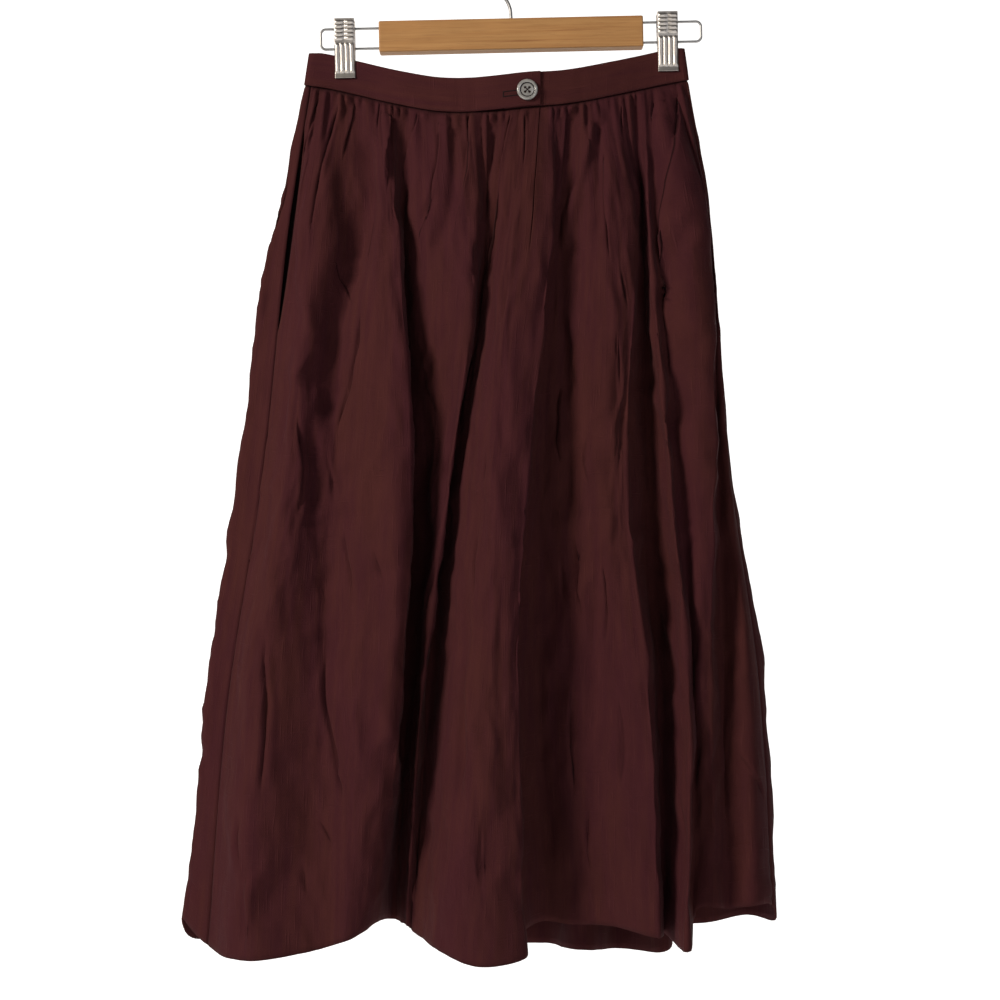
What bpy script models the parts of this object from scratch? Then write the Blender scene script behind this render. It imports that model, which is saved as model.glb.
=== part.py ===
"""A gathered skirt hung by its waistband on a clip hanger. Metres, +Z up, the front faces -Y.

The origin is the hook's hanging point, the inside of its top bend.
"""

import math
import random
from functools import lru_cache

import bmesh
import bpy
from mathutils import Vector

MM = 0.001

# Distances between separate pieces
SEAM_GAP = 0.0003
SIDE_SEAM_INSET = 0.00022

# Skirt cloth
CLOTH_WALL = 0.001
FRONT_COLUMNS = 72
BACK_COLUMNS = 56
GATHER_COLUMNS = 4
GATHER_RISE = 0.02
GATHER_STEEPNESS = 0.42
GATHER_CALM = {"front": (0.02, 0.03), "back": (0.05, 0.09)}
GATHER_SEED = 5

# How far down the skirt each level lies, as a share of the way from the waistband to the hem
HIP, THIGH, KNEE, HEM = 0.173, 0.453, 0.72, 1.0
LEVELS = (0.0, HIP, THIGH, KNEE, HEM)
ROWS = (0.0, 0.02, 0.05, 0.1, HIP, 0.26, 0.355, THIGH, 0.54, 0.63, KNEE, 0.81, 0.91, HEM)

# The folds of the front, from the wearer's right side seam (at -X) to the left one.
# Columns: fold, millimetres along the waistband, then (across, depth) in millimetres at hip, thigh,
# knee and hem, and the height of the hem.
FRONT_FOLDS = (
    ("side seam", 0, (-199, -2), (-221, -4), (-252, -6), (-269, -8), -883),
    ("first roll", 13, (-178, -20), (-194, -30), (-221, -40), (-230, -50), -885),
    ("soft trough", 39, (-140, -11), (-156, -18), (-162, -28), (-164, -38), -877),
    ("second roll", 58, (-113, -27), (-121, -36), (-129, -44), (-139, -46), -867),
    ("deep lip", 70, (-99, -26), (-88, -40), (-94, -42), (-118, -28), -858),
    ("deep floor", 83, (-96, 0), (-95, 16), (-96, 16), (-105, 14), -866),
    ("lobe start", 93, (-82, -18), (-78, 4), (-87, 6), (-99, 6), -866),
    ("lobe", 112, (-58, -28), (-65, -12), (-83, -4), (-96, -2), -865),
    ("knife ridge", 138, (-31, -32), (-54, -28), (-79, -22), (-92, -12), -864),
    ("knife trough", 154, (-24, -14), (-57, 4), (-74, 8), (-87, -12), -868),
    ("centre flank", 178, (-9, -32), (-31, -38), (-45, -46), (-64, -54), -874),
    ("centre crest", 198, (4, -38), (-12, -56), (-18, -64), (-27, -74), -883),
    ("centre edge", 214, (34, -30), (13, -48), (6, -56), (12, -62), -878),
    ("centre under", 220, (32, -16), (9, -26), (1, -28), (6, -32), -867),
    ("recess floor", 229, (43, -8), (26, -4), (22, -2), (27, -2), -863),
    ("recess middle", 241, (65, -18), (52, -14), (50, -10), (52, -10), -864),
    ("recess swell", 256, (90, -26), (88, -26), (83, -22), (84, -18), -863),
    ("thin edge", 273, (108, -20), (99, -24), (119, -32), (127, -34), -869),
    ("slot floor", 284, (118, 0), (122, 2), (133, 4), (134, -2), -871),
    ("finger edge", 297, (122, -22), (138, -32), (154, -38), (151, -44), -878),
    ("finger back", 304, (129, -14), (145, -20), (160, -20), (159, -10), -858),
    ("side swell", 311, (154, -26), (161, -32), (165, -28), (169, -12), -847),
    ("side lip", 317, (173, -16), (177, -28), (173, -26), (181, -14), -848),
    ("side recess", 323, (175, -6), (183, 0), (188, 0), (193, -2), -852),
    ("side flap", 329, (176, -4), (191, -4), (208, -14), (214, -14), -846),
)

# The folds of the back, going on round from the left side seam to the right one.
# Columns: fold, then (across, depth) at hip, thigh, knee and hem, and the height of the hem.
BACK_FOLDS = (
    ("side seam", (178, 2), (194, 4), (221, 2), (234, 4), -850),
    ("left corner", (180, 12), (197, 16), (228, 18), (240, 20), -868),
    ("side roll", (168, 28), (186, 40), (208, 48), (222, 54), -872),
    ("first trough", (150, 22), (160, 34), (172, 38), (180, 38), -875),
    ("first ridge", (132, 38), (138, 58), (146, 68), (152, 76), -888),
    ("under first", (118, 24), (126, 36), (137, 38), (142, 38), -901),
    ("second ridge", (98, 37), (99, 60), (100, 72), (102, 80), -910),
    ("second trough", (78, 23), (76, 36), (72, 38), (68, 38), -900),
    ("centre ridge", (50, 38), (44, 64), (36, 78), (30, 88), -908),
    ("centre edge", (28, 38), (16, 64), (4, 78), (-6, 86), -906),
    ("centre under", (16, 24), (12, 38), (6, 42), (0, 42), -903),
    ("third trough", (-8, 22), (-16, 34), (-24, 36), (-30, 36), -897),
    ("third ridge", (-34, 36), (-44, 58), (-56, 70), (-64, 78), -886),
    ("fourth trough", (-56, 22), (-66, 36), (-76, 38), (-84, 38), -880),
    ("fourth ridge", (-76, 34), (-92, 56), (-106, 70), (-116, 77), -879),
    ("fourth edge", (-98, 36), (-118, 58), (-136, 69), (-150, 75), -883),
    ("under fourth", (-110, 23), (-124, 36), (-138, 39), (-150, 40), -887),
    ("fifth trough", (-134, 22), (-152, 34), (-170, 38), (-184, 40), -890),
    ("fifth ridge", (-160, 34), (-180, 52), (-200, 61), (-216, 66), -892),
    ("last trough", (-184, 24), (-208, 34), (-230, 40), (-250, 44), -890),
    ("right corner", (-207, 14), (-238, 20), (-264, 24), (-291, 24), -884),
    ("outline", (-213, 4), (-244, 7), (-270, 8), (-297, 6), -862),
)

# Pocket openings in the side seams, as shares of the way down, and how far the front stands off there
POCKET_TOP, POCKET_END = 0.05, 0.285
POCKET_PARTING = {"left": 0.0045, "right": 0.0025}
POCKET_REACH = 0.035
POCKET_MOUTH_TOP, POCKET_MOUTH_END = -0.192, -0.330
BAG_TOP, BAG_BOTTOM = -0.186, -0.400
BAG_TOP_DEPTH, BAG_BOTTOM_DEPTH = 0.0015, 0.0190
BAG_WIDTH = 0.130
BAG_WALL = 0.0006
BAG_HALF_GAP = 0.0009
BAG_SEAT = 0.0008

# Slit under the button and the strip that backs it
SLIT_PARTING = 0.0004
SLIT_FLAT = 0.022
STRIP_SHARES = (-0.013, 0.005)
STRIP_WALL = 0.0008
STRIP_DEPTH = 0.0014

# Waistband: its height and wall, then its line seen from above with the height of its top edge.
# Columns: place, across, depth, top edge, in millimetres.
BAND_HEIGHT = 0.030
BAND_WALL = 0.002
BAND_PLAN = (
    ("front by the left fold", -178, -2.2, -91),
    ("left clip, outer side", -158, -1.4, -94),
    ("left clip, inner side", -138, -1.4, -98.5),
    ("front left", -97, -6.0, -109),
    ("front low point", -60, -9.5, -115.5),
    ("front centre", -20, -12.5, -115.5),
    ("front button", 14, -13.0, -112),
    ("front right", 48, -11.0, -109),
    ("front far right", 93, -5.5, -99.5),
    ("right clip, inner side", 129, -1.4, -91),
    ("right clip, outer side", 149, -1.4, -87),
    ("front of the right fold", 155.8, -2.0, -85.8),
    ("right fold", 158, 0, -85.5),
    ("back of the right fold", 155.8, 2.0, -85.8),
    ("right clip, back", 149, 1.4, -87),
    ("right clip, back inner side", 129, 1.4, -91),
    ("back right", 90, 8.0, -102),
    ("back middle right", 40, 14.0, -113),
    ("back middle", -20, 16.0, -119),
    ("back left", -80, 11.0, -115.5),
    ("left clip, back inner side", -138, 1.4, -98.5),
    ("left clip, back", -158, 1.4, -94),
    ("back by the left fold", -178, 2.2, -91),
    ("back of the left fold", -181.8, 2.1, -90.2),
    ("left fold", -184, 0, -90),
    ("front of the left fold", -181.8, -2.1, -90.2),
)
BAND_STEP = 0.009
RIGHT_SEAM_X = 0.1550
OVERLAP_END_X = 0.026
UNDERLAP_END_X = -0.006
OVERLAP_LIFT = 0.0024

# Button
BUTTON_X = 0.0142
BUTTON_RADIUS = 0.0093
BUTTON_THICKNESS = 0.003
BUTTON_HOLE_RADIUS = 0.0009
BUTTON_HOLE_SPACING = 0.0034

# Hanger
HANGER_TILT = math.radians(-1.24)
BAR_SIZE = (0.2345, 0.014, 0.0275)
BAR_CENTRE_Z = -0.0757
BAR_ROUNDING = 0.0018
ROD_RADIUS = 0.0011
ROD_SPACING = 0.0178
ROD_DEPTH_IN_BAR = 0.010
LOOP_REACH = 0.0530
LOOP_CORNER = 0.0045
HOOK_WIRE_RADIUS = 0.0015
HOOK_INSIDE_RADIUS = 0.019
HOOK_DEPTH_IN_BAR = 0.012

# Clips: the middle of each, and the height of their tops, measured on the level hanger
CLIPS = (("left", -0.148), ("right", 0.139))
CLIP_TOP = -0.0588
CLIP_WIDTH = 0.0172
CLIP_HEIGHT = 0.0525
CLIP_WALL = 0.0009
CLIP_FLUTES = 4
CLIP_FLUTE_DEPTH = 0.0005
CLIP_TOP_HALF_GAP = 0.0062
CLIP_ROD_HALF_GAP = 0.0052
CLIP_JAW_HALF_GAP = 0.0034
SPRING_OUTER_RADIUS = 0.0042
SPRING_LENGTH = 0.0120

# Colours, linear
COLOURS = {
    "linen": ((0.052, 0.017, 0.019), 0.85, 0.0),
    "lining_linen": ((0.035, 0.012, 0.013), 0.9, 0.0),
    "wood": ((0.45, 0.25, 0.10), 0.5, 0.0),
    "wire": ((0.55, 0.55, 0.56), 0.28, 1.0),
    "clip_metal": ((0.62, 0.62, 0.63), 0.25, 1.0),
    "button": ((0.32, 0.32, 0.34), 0.3, 0.0),
}


def smooth(t):
    """Ease from 0 to 1 as t goes from 0 to 1."""
    t = min(1.0, max(0.0, t))
    return t * t * (3 - 2 * t)


def make_material(name):
    colour, roughness, metallic = COLOURS[name]
    material = bpy.data.materials.new(name)
    material.use_nodes = True
    shader = material.node_tree.nodes["Principled BSDF"]
    shader.inputs["Base Color"].default_value = (*colour, 1.0)
    shader.inputs["Roughness"].default_value = roughness
    shader.inputs["Metallic"].default_value = metallic
    return material


def curve_between(p0, p1, p2, p3, f):
    """The point a share f of the way from p1 to p2 on a centripetal curve through all four."""
    t1 = max((p1 - p0).length, 1e-9) ** 0.5
    t2 = t1 + max((p2 - p1).length, 1e-9) ** 0.5
    t3 = t2 + max((p3 - p2).length, 1e-9) ** 0.5
    t = t1 + (t2 - t1) * f
    a1 = p0 * ((t1 - t) / t1) + p1 * (t / t1)
    a2 = p1 * ((t2 - t) / (t2 - t1)) + p2 * ((t - t1) / (t2 - t1))
    a3 = p2 * ((t3 - t) / (t3 - t2)) + p3 * ((t - t2) / (t3 - t2))
    b1 = a1 * ((t2 - t) / t2) + a2 * (t / t2)
    b2 = a2 * ((t3 - t) / (t3 - t1)) + a3 * ((t - t1) / (t3 - t1))
    return b1 * ((t2 - t) / (t2 - t1)) + b2 * ((t - t1) / (t2 - t1))


def on_ring(points, k, f):
    """A point on the closed curve through the points, a share f of the way past point k."""
    n = len(points)
    return curve_between(points[k - 1], points[k], points[(k + 1) % n], points[(k + 2) % n], f)


class Waistline:
    """The waistband's line as a closed curve: its points, and how far along it each one is."""

    def __init__(self):
        rows = [Vector(row[1:]) * MM for row in BAND_PLAN]
        self.points = []
        for k, row in enumerate(rows):
            steps = max(3, round((rows[(k + 1) % len(rows)] - row).length / BAND_STEP))
            self.points += [on_ring(rows, k, i / steps) for i in range(steps)]
        self.points.append(self.points[0])
        self.along = [0.0]
        for a, b in zip(self.points, self.points[1:]):
            self.along.append(self.along[-1] + (b - a).xy.length)
        self.length = self.along[-1]

    def at(self, distance):
        """(across, depth, top edge) at a distance round the band from the first row."""
        distance %= self.length
        k = max(i for i, d in enumerate(self.along[:-1]) if d <= distance)
        share = (distance - self.along[k]) / (self.along[k + 1] - self.along[k])
        return self.points[k].lerp(self.points[k + 1], share)

    def front_distance(self, x):
        """How far along the front the band reaches a given X."""
        for a, b, start in zip(self.points, self.points[1:], self.along):
            if a.x <= x <= b.x:
                return start + (b - a).xy.length * (x - a.x) / (b.x - a.x)
        raise ValueError("that X is beyond the front of the band")


class Drape:
    """The skirt as a surface: (side, share across, share down) to a point in space."""

    def __init__(self, waist):
        self.waist = waist
        front = [row[2:6] for row in FRONT_FOLDS]
        back = [row[1:5] for row in BACK_FOLDS]
        hem_heights = [row[6] for row in FRONT_FOLDS] + [row[5] for row in BACK_FOLDS]
        self.rings = [
            [Vector((*row[level], height)) * MM for row, height in zip(front + back, hem_heights)]
            for level in range(4)
        ]
        self.first = {"front": 0, "back": len(front)}
        self.count = {"front": len(front), "back": len(back)}
        self.right_seam = waist.front_distance(RIGHT_SEAM_X)
        band_marks = [row[1] * MM for row in FRONT_FOLDS] + [self.right_seam]
        self.marks = {side: self.cloth_marks(side) for side in self.first}
        self.band = {"front": band_marks, "back": self.back_band_marks()}
        self.marks["front"] = [
            (cloth + mark / self.right_seam) / 2 for cloth, mark in zip(self.marks["front"], band_marks)
        ]
        self.tuck_count = {
            "front": 2 * FRONT_COLUMNS // GATHER_COLUMNS,
            "back": 2 * BACK_COLUMNS // GATHER_COLUMNS,
        }
        shaker = random.Random(GATHER_SEED)
        self.tucks = {
            side: [(shaker.uniform(0.55, 1.25), shaker.uniform(0.06, 0.21)) for _ in range(count)]
            for side, count in self.tuck_count.items()
        }

    def cloth_marks(self, side):
        """The width of cloth from the panel's first edge to each fold, as a share of the panel."""
        marks = [0.0]
        for i in range(self.count[side]):
            k = self.first[side] + i
            lower = self.rings[1:]
            widths = [(ring[(k + 1) % len(ring)] - ring[k]).xy.length for ring in lower]
            marks.append(marks[-1] + sum(widths) / len(widths))
        return [m / marks[-1] for m in marks]

    def back_band_marks(self):
        """The back is gathered evenly along the rest of the band."""
        rest = self.waist.length - self.right_seam
        return [self.right_seam + rest * share for share in self.marks["back"]]

    def band_distance(self, side, u):
        i, f = self.locate(side, u)
        start, end = self.band[side][i], self.band[side][i + 1]
        return start + (end - start) * f

    def locate(self, side, u):
        """The fold before a share u of the cloth's width, and the share of the way to the next."""
        marks = self.marks[side]
        i = max(j for j in range(self.count[side]) if marks[j] <= max(u, 0.0))
        return i, (u - marks[i]) / (marks[i + 1] - marks[i])

    @lru_cache(maxsize=None)
    def column(self, side, u):
        """One thread down the cloth: its five plan points, and its top and hem heights."""
        i, f = self.locate(side, u)
        k = self.first[side] + i
        top = self.waist.at(self.band_distance(side, u))
        lower = [on_ring(ring, k, f) for ring in self.rings]
        return [top.xy] + [p.xy for p in lower], top.z - BAND_HEIGHT - SEAM_GAP, lower[3].z

    def gather(self, side, u, v):
        """How far a tuck stands out: full just under the band, gone where its own length ends."""
        number = u * self.tuck_count[side]
        tuck = min(int(number), self.tuck_count[side] - 1)
        size, length = self.tucks[side][tuck]
        edges = [min(1.0, max(0.0, (tuck + step) / self.tuck_count[side])) for step in (0, 1)]
        pitch = self.band_distance(side, edges[1] - 1e-9) - self.band_distance(side, edges[0])
        wave = 0.5 - 0.5 * math.cos(2 * math.pi * (number - tuck))
        grow = 0.3 + 0.7 * smooth(v / GATHER_RISE)
        fade = 1 - smooth((v - GATHER_RISE) / length)
        first_calm, last_calm = GATHER_CALM[side]
        calm = smooth(u / first_calm) * smooth((1 - u) / last_calm)
        if side == "front":
            calm *= smooth(abs(u - self.slit_share) / SLIT_FLAT - 0.6)
        return GATHER_STEEPNESS * pitch * size * wave * grow * fade * calm

    @property
    def slit_share(self):
        """The column of the front that comes down from the end of the band's overlap."""
        target = self.waist.front_distance(OVERLAP_END_X)
        shares = [c / FRONT_COLUMNS for c in range(FRONT_COLUMNS + 1)]
        return min(shares, key=lambda u: abs(self.band_distance("front", min(u, 0.9999)) - target))

    def parting(self, side, u, v):
        """The front's edges stand off the back's along the pocket openings."""
        if side == "back":
            return Vector((0, 0))
        reach = (v - POCKET_TOP) / (POCKET_END - POCKET_TOP)
        if not 0 < reach < 1:
            return Vector((0, 0))
        lens = math.sin(math.pi * reach) ** 0.6
        left = POCKET_PARTING["left"] * smooth(1 - u / POCKET_REACH)
        right = POCKET_PARTING["right"] * smooth(1 - (1 - u) / POCKET_REACH)
        return Vector((0.4 * (left - right), -left - right)) * lens

    def point(self, side, u, v):
        plan, top, hem = self.column(side, u)
        i = max(j for j in range(4) if LEVELS[j] <= v)
        span = LEVELS[i + 1] - LEVELS[i]
        t = (v - LEVELS[i]) / span
        slopes = []
        for j in (i, i + 1):
            before, after = max(j - 1, 0), min(j + 1, 4)
            slopes.append((plan[after] - plan[before]) / (LEVELS[after] - LEVELS[before]) * span)
        a, b = plan[i], plan[i + 1]
        place = (
            a * (2 * t**3 - 3 * t**2 + 1)
            + slopes[0] * (t**3 - 2 * t**2 + t)
            + b * (3 * t**2 - 2 * t**3)
            + slopes[1] * (t**3 - t**2)
        )
        out = -1 if side == "front" else 1
        place = place + self.parting(side, u, v) + Vector((0, out * self.gather(side, u, v)))
        return Vector((place.x, place.y, top + (hem - top) * v))

    def inset_share(self, side, u, v):
        """The share across that lies just inside a panel's edge, measured along the cloth."""
        step = 0.0005 if u < 0.5 else -0.0005
        edge = min(u, 1 - 1e-7)
        stretch = (self.point(side, edge + step, v) - self.point(side, edge, v)).length / abs(step)
        return edge + math.copysign(SIDE_SEAM_INSET / stretch, step)

    def outward(self, side, u, v):
        """The cloth's outward direction, from points a little way off on both sides."""
        step = 0.004
        across = self.point(side, u + step, v) - self.point(side, u - step, v)
        down = self.point(side, u, v + step) - self.point(side, u, max(v - step, 0))
        return down.cross(across).normalized()


def add_object(name, mesh, material, collection, parent=None):
    obj = bpy.data.objects.new(name, mesh)
    mesh.materials.clear()
    mesh.materials.append(material)
    collection.objects.link(obj)
    if parent:
        obj.parent = parent
    return obj


def mesh_of(bm, name):
    mesh = bpy.data.meshes.new(name)
    bm.to_mesh(mesh)
    bm.free()
    mesh.shade_smooth()
    return mesh


def thicken(obj, wall, offset=0.0):
    """Give an open surface its wall, half to each side unless an offset says otherwise."""
    solid = obj.modifiers.new("wall", "SOLIDIFY")
    solid.thickness = wall
    solid.offset = offset
    return obj


def cloth_grid(columns, rows):
    """A flat grid over the cloth: x is the share across, y the share down."""
    bm = bmesh.new()
    bmesh.ops.create_grid(bm, x_segments=columns, y_segments=len(rows) - 1, size=0.5)
    for vertex in bm.verts:
        row = round((vertex.co.y + 0.5) * (len(rows) - 1))
        vertex.co = Vector((vertex.co.x + 0.5, rows[row], 0))
    return bm


def refine_gathers(bm):
    """Halve the columns between the waistband and the hip, where the tucks are."""
    above = [
        edge
        for edge in bm.edges
        if abs(edge.verts[0].co.y - edge.verts[1].co.y) < 1e-6 and edge.verts[0].co.y < HIP - 1e-4
    ]
    bmesh.ops.subdivide_edges(bm, edges=above, cuts=1, use_grid_fill=True)


def open_slit(bm, share):
    """Part the cloth down one column, from the waistband to the hip, and mark its two lips."""
    slit = [
        edge
        for edge in bm.edges
        if all(abs(v.co.x - share) < 1e-5 and v.co.y <= HIP + 1e-5 for v in edge.verts)
    ]
    bmesh.ops.split_edges(bm, edges=slit)
    lips = {}
    for vertex in bm.verts:
        if abs(vertex.co.x - share) < 1e-5 and vertex.co.y < HIP - 1e-4:
            middle = sum(f.calc_center_median().x for f in vertex.link_faces) / len(vertex.link_faces)
            lips[vertex] = SLIT_PARTING if middle > share else -SLIT_PARTING
    return lips


def hang(bm, drape, side, lips=None):
    """Move each point of the flat grid to its place on the hanging cloth."""
    lips = lips or {}
    for vertex in bm.verts:
        u, v = vertex.co.x, vertex.co.y
        if u < 1e-6 or u > 1 - 1e-6:
            u = drape.inset_share(side, u, v)
        place = drape.point(side, round(u, 7), v)
        place.x += lips.get(vertex, 0.0)
        vertex.co = place


def make_panel(name, side, columns, drape, material, collection):
    bm = cloth_grid(columns, ROWS)
    refine_gathers(bm)
    lips = open_slit(bm, drape.slit_share) if side == "front" else None
    hang(bm, drape, side, lips)
    bm.normal_update()
    obj = add_object(name, mesh_of(bm, name), material, collection)
    return thicken(obj, CLOTH_WALL)


def make_placket_strip(drape, material, collection):
    """The strip behind the slit, made from the front's own points, moved inwards."""
    rows = (0.004, 0.02, 0.05, 0.1, HIP)
    bm = cloth_grid(6, rows)
    for vertex in bm.verts:
        u = drape.slit_share + STRIP_SHARES[0] + (STRIP_SHARES[1] - STRIP_SHARES[0]) * vertex.co.x
        v = vertex.co.y
        vertex.co = drape.point("front", round(u, 7), v) - drape.outward("front", u, v) * STRIP_DEPTH
    obj = add_object("placket_strip", mesh_of(bm, "placket_strip"), material, collection)
    return thicken(obj, STRIP_WALL)


def side_seam_at(drape, side, z):
    """Where the side seam runs at a height, on the back's edge."""
    u = {"left": 1 - 1e-7, "right": 0.0}[side]
    _, top, hem = drape.column("back", u)
    return drape.point("back", u, (z - top) / (hem - top))


def make_pocket_bag(side, drape, material, collection):
    """A flat bag, open along its mouth at the side seam, hanging between the front and the back."""
    inwards = 1 if side == "left" else -1
    columns, rows = 5, 5
    bm = bmesh.new()
    bmesh.ops.create_cube(bm, size=1.0)
    mouth = [f for f in bm.faces if f.normal.x < -0.5]
    bmesh.ops.delete(bm, geom=mouth, context="FACES_ONLY")
    for normal, count in ((Vector((1, 0, 0)), columns), (Vector((0, 0, 1)), rows)):
        for i in range(1, count):
            geom = bm.verts[:] + bm.edges[:] + bm.faces[:]
            bmesh.ops.bisect_plane(bm, geom=geom, plane_co=normal * (i / count - 0.5), plane_no=normal)
    for vertex in bm.verts:
        depth, layer, height = vertex.co.x + 0.5, vertex.co.y * 2, vertex.co.z + 0.5
        mouth_z = POCKET_MOUTH_END + (POCKET_MOUTH_TOP - POCKET_MOUTH_END) * height
        bag_z = BAG_BOTTOM + (BAG_TOP - BAG_BOTTOM) * height
        z = mouth_z + (bag_z - mouth_z) * smooth(depth / 0.4)
        seam = side_seam_at(drape, side, z)
        hollow = BAG_TOP_DEPTH + (BAG_BOTTOM_DEPTH - BAG_TOP_DEPTH) * (BAG_TOP - z) / (BAG_TOP - BAG_BOTTOM)
        by_mouth = 1 - smooth(depth / 0.3)
        half = BAG_HALF_GAP * (1 + 0.5 * by_mouth)
        middle = hollow + (seam.y + 2 * half - hollow) * by_mouth
        x = seam.x + inwards * (BAG_SEAT + BAG_WIDTH * depth)
        vertex.co = Vector((x, middle + layer * half, z))
    bmesh.ops.recalc_face_normals(bm, faces=bm.faces)
    name = f"pocket_bag_{side}"
    obj = add_object(name, mesh_of(bm, name), material, collection)
    return thicken(obj, BAG_WALL, offset=0.0)


def make_waistband(waist, material, collection):
    """One strip round the waist that begins at its overlap, laps the front and ends under it."""
    outer = waist.front_distance(OVERLAP_END_X)
    inner = waist.front_distance(UNDERLAP_END_X)
    marks = [d for d in waist.along[:-1] if inner < d < outer]
    line = [outer] + marks[::-1] + [inner]
    line += [d for d in waist.along[:-1] if d < inner - 0.001][::-1]
    line += [d for d in waist.along[:-1] if d > outer + 0.001][::-1]
    line += [outer] + marks[::-1] + [inner]
    bm = bmesh.new()
    bmesh.ops.create_grid(bm, x_segments=len(line) - 1, y_segments=1, size=0.5)
    for vertex in bm.verts:
        i = round((vertex.co.x + 0.5) * (len(line) - 1))
        base = waist.at(line[i])
        travelled = outer - line[i] if i < len(line) / 2 and line[i] <= outer else 1.0
        lift = OVERLAP_LIFT * (1 - smooth((travelled - 0.034) / 0.03))
        height = (vertex.co.y - 0.5) * BAND_HEIGHT
        vertex.co = Vector((base.x, base.y - lift, base.z + height))
    bmesh.ops.recalc_face_normals(bm, faces=bm.faces)
    obj = add_object("waistband", mesh_of(bm, "waistband"), material, collection)
    return thicken(obj, BAND_WALL)


def band_front_face(waist, x):
    """The front of the overlapped band at an X, and the middle of its height."""
    base = waist.at(waist.front_distance(x))
    return Vector((x, base.y - OVERLAP_LIFT - BAND_WALL / 2, base.z - BAND_HEIGHT / 2))


def make_button(waist, material, collection, cutters):
    """A turned disc with a raised rim and four holes."""
    r, t = BUTTON_RADIUS, BUTTON_THICKNESS
    outline = (
        (0.0, t * 0.62),
        (r * 0.62, t * 0.62),
        (r * 0.76, t),
        (r * 0.9, t),
        (r, t * 0.6),
        (r * 0.94, t * 0.15),
        (r * 0.7, 0.0),
        (0.0, 0.0),
    )
    mesh = bpy.data.meshes.new("button")
    bm = bmesh.new()
    verts = [bm.verts.new((x, 0, z)) for x, z in outline]
    for a, b in zip(verts, verts[1:]):
        bm.edges.new((a, b))
    bmesh.ops.spin(
        bm,
        geom=bm.verts[:] + bm.edges[:],
        cent=(0, 0, 0),
        axis=(0, 0, 1),
        angle=2 * math.pi,
        steps=20,
        use_merge=True,
    )
    bmesh.ops.remove_doubles(bm, verts=bm.verts, dist=1e-6)
    bmesh.ops.recalc_face_normals(bm, faces=bm.faces)
    bm.to_mesh(mesh)
    bm.free()
    mesh.shade_smooth()
    seat = band_front_face(waist, BUTTON_X)
    obj = add_object("button", mesh, material, collection)
    obj.location = (seat.x, seat.y - SEAM_GAP, seat.z)
    obj.rotation_euler = (math.pi / 2, 0, 0)
    for i in range(4):
        angle = math.pi / 4 + i * math.pi / 2
        reach = BUTTON_HOLE_SPACING / math.sqrt(2)
        bpy.ops.mesh.primitive_cylinder_add(
            vertices=8,
            radius=BUTTON_HOLE_RADIUS,
            depth=BUTTON_THICKNESS * 4,
            location=(seat.x + reach * math.cos(angle), seat.y, seat.z + reach * math.sin(angle)),
            rotation=(math.pi / 2, 0, 0),
        )
        cut_with(obj, take_cutter(f"button_hole_{i}", cutters))
    return obj


def take_cutter(name, cutters):
    """Move the newest object into the cutters' collection, hidden."""
    cutter = bpy.context.object
    cutter.name = name
    for collection in cutter.users_collection:
        collection.objects.unlink(cutter)
    cutters.objects.link(cutter)
    cutter.hide_render = True
    cutter.display_type = "WIRE"
    return cutter


def cut_with(obj, cutter):
    boolean = obj.modifiers.new(cutter.name, "BOOLEAN")
    boolean.operation = "DIFFERENCE"
    boolean.object = cutter


def wire(name, points, radius, material, collection, parent=None):
    """A round wire along the points, with filled ends."""
    curve = bpy.data.curves.new(name, "CURVE")
    curve.dimensions = "3D"
    curve.bevel_depth = radius
    curve.bevel_resolution = 2
    curve.use_fill_caps = True
    spline = curve.splines.new("POLY")
    spline.points.add(len(points) - 1)
    for target, place in zip(spline.points, points):
        target.co = (*place, 1.0)
    curve.materials.append(material)
    obj = bpy.data.objects.new(name, curve)
    collection.objects.link(obj)
    if parent:
        obj.parent = parent
    return obj


def hook_route():
    """Up out of the bar, over to one side, and round the open loop of a question mark."""
    radius = HOOK_INSIDE_RADIUS + HOOK_WIRE_RADIUS
    bar_top = BAR_CENTRE_Z + BAR_SIZE[2] / 2
    stem = [
        Vector((0, 0, bar_top - HOOK_DEPTH_IN_BAR)),
        Vector((0, 0, bar_top + 0.002)),
        Vector((-0.0008, 0, bar_top + 0.010)),
        Vector((-0.0040, 0, bar_top + 0.0175)),
        Vector((-0.0095, 0, bar_top + 0.0235)),
    ]
    loop = []
    turns = 18
    for step in range(turns + 1):
        angle = math.radians(215 - step * 255 / turns)
        loop.append(Vector((radius * math.cos(angle), 0, radius * math.sin(angle) - HOOK_INSIDE_RADIUS)))
    route = stem + loop
    ends = [route[0] * 2 - route[1]] + route + [route[-1] * 2 - route[-2]]
    smoothed = []
    for k in range(1, len(stem) + 1):
        smoothed += [curve_between(*ends[k - 1 : k + 3], i / 2) for i in range(2)]
    return smoothed + loop[1:]


def loop_route(direction):
    """A wire loop at one end of the bar: out along the top, round two corners, and back."""
    start = BAR_SIZE[0] / 2 - ROD_DEPTH_IN_BAR
    reach = BAR_SIZE[0] / 2 + LOOP_REACH - ROD_RADIUS
    half = ROD_SPACING / 2
    points = [(start, half)]
    for corner, begin in ((half, 90), (-half, 0)):
        centre = Vector((reach - LOOP_CORNER, corner - math.copysign(LOOP_CORNER, corner)))
        for step in range(5):
            angle = math.radians(begin - step * 22.5)
            points.append(tuple(centre + LOOP_CORNER * Vector((math.cos(angle), math.sin(angle)))))
    points.append((start, -half))
    return [Vector((direction * x, 0, z)) for x, z in points]


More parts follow.
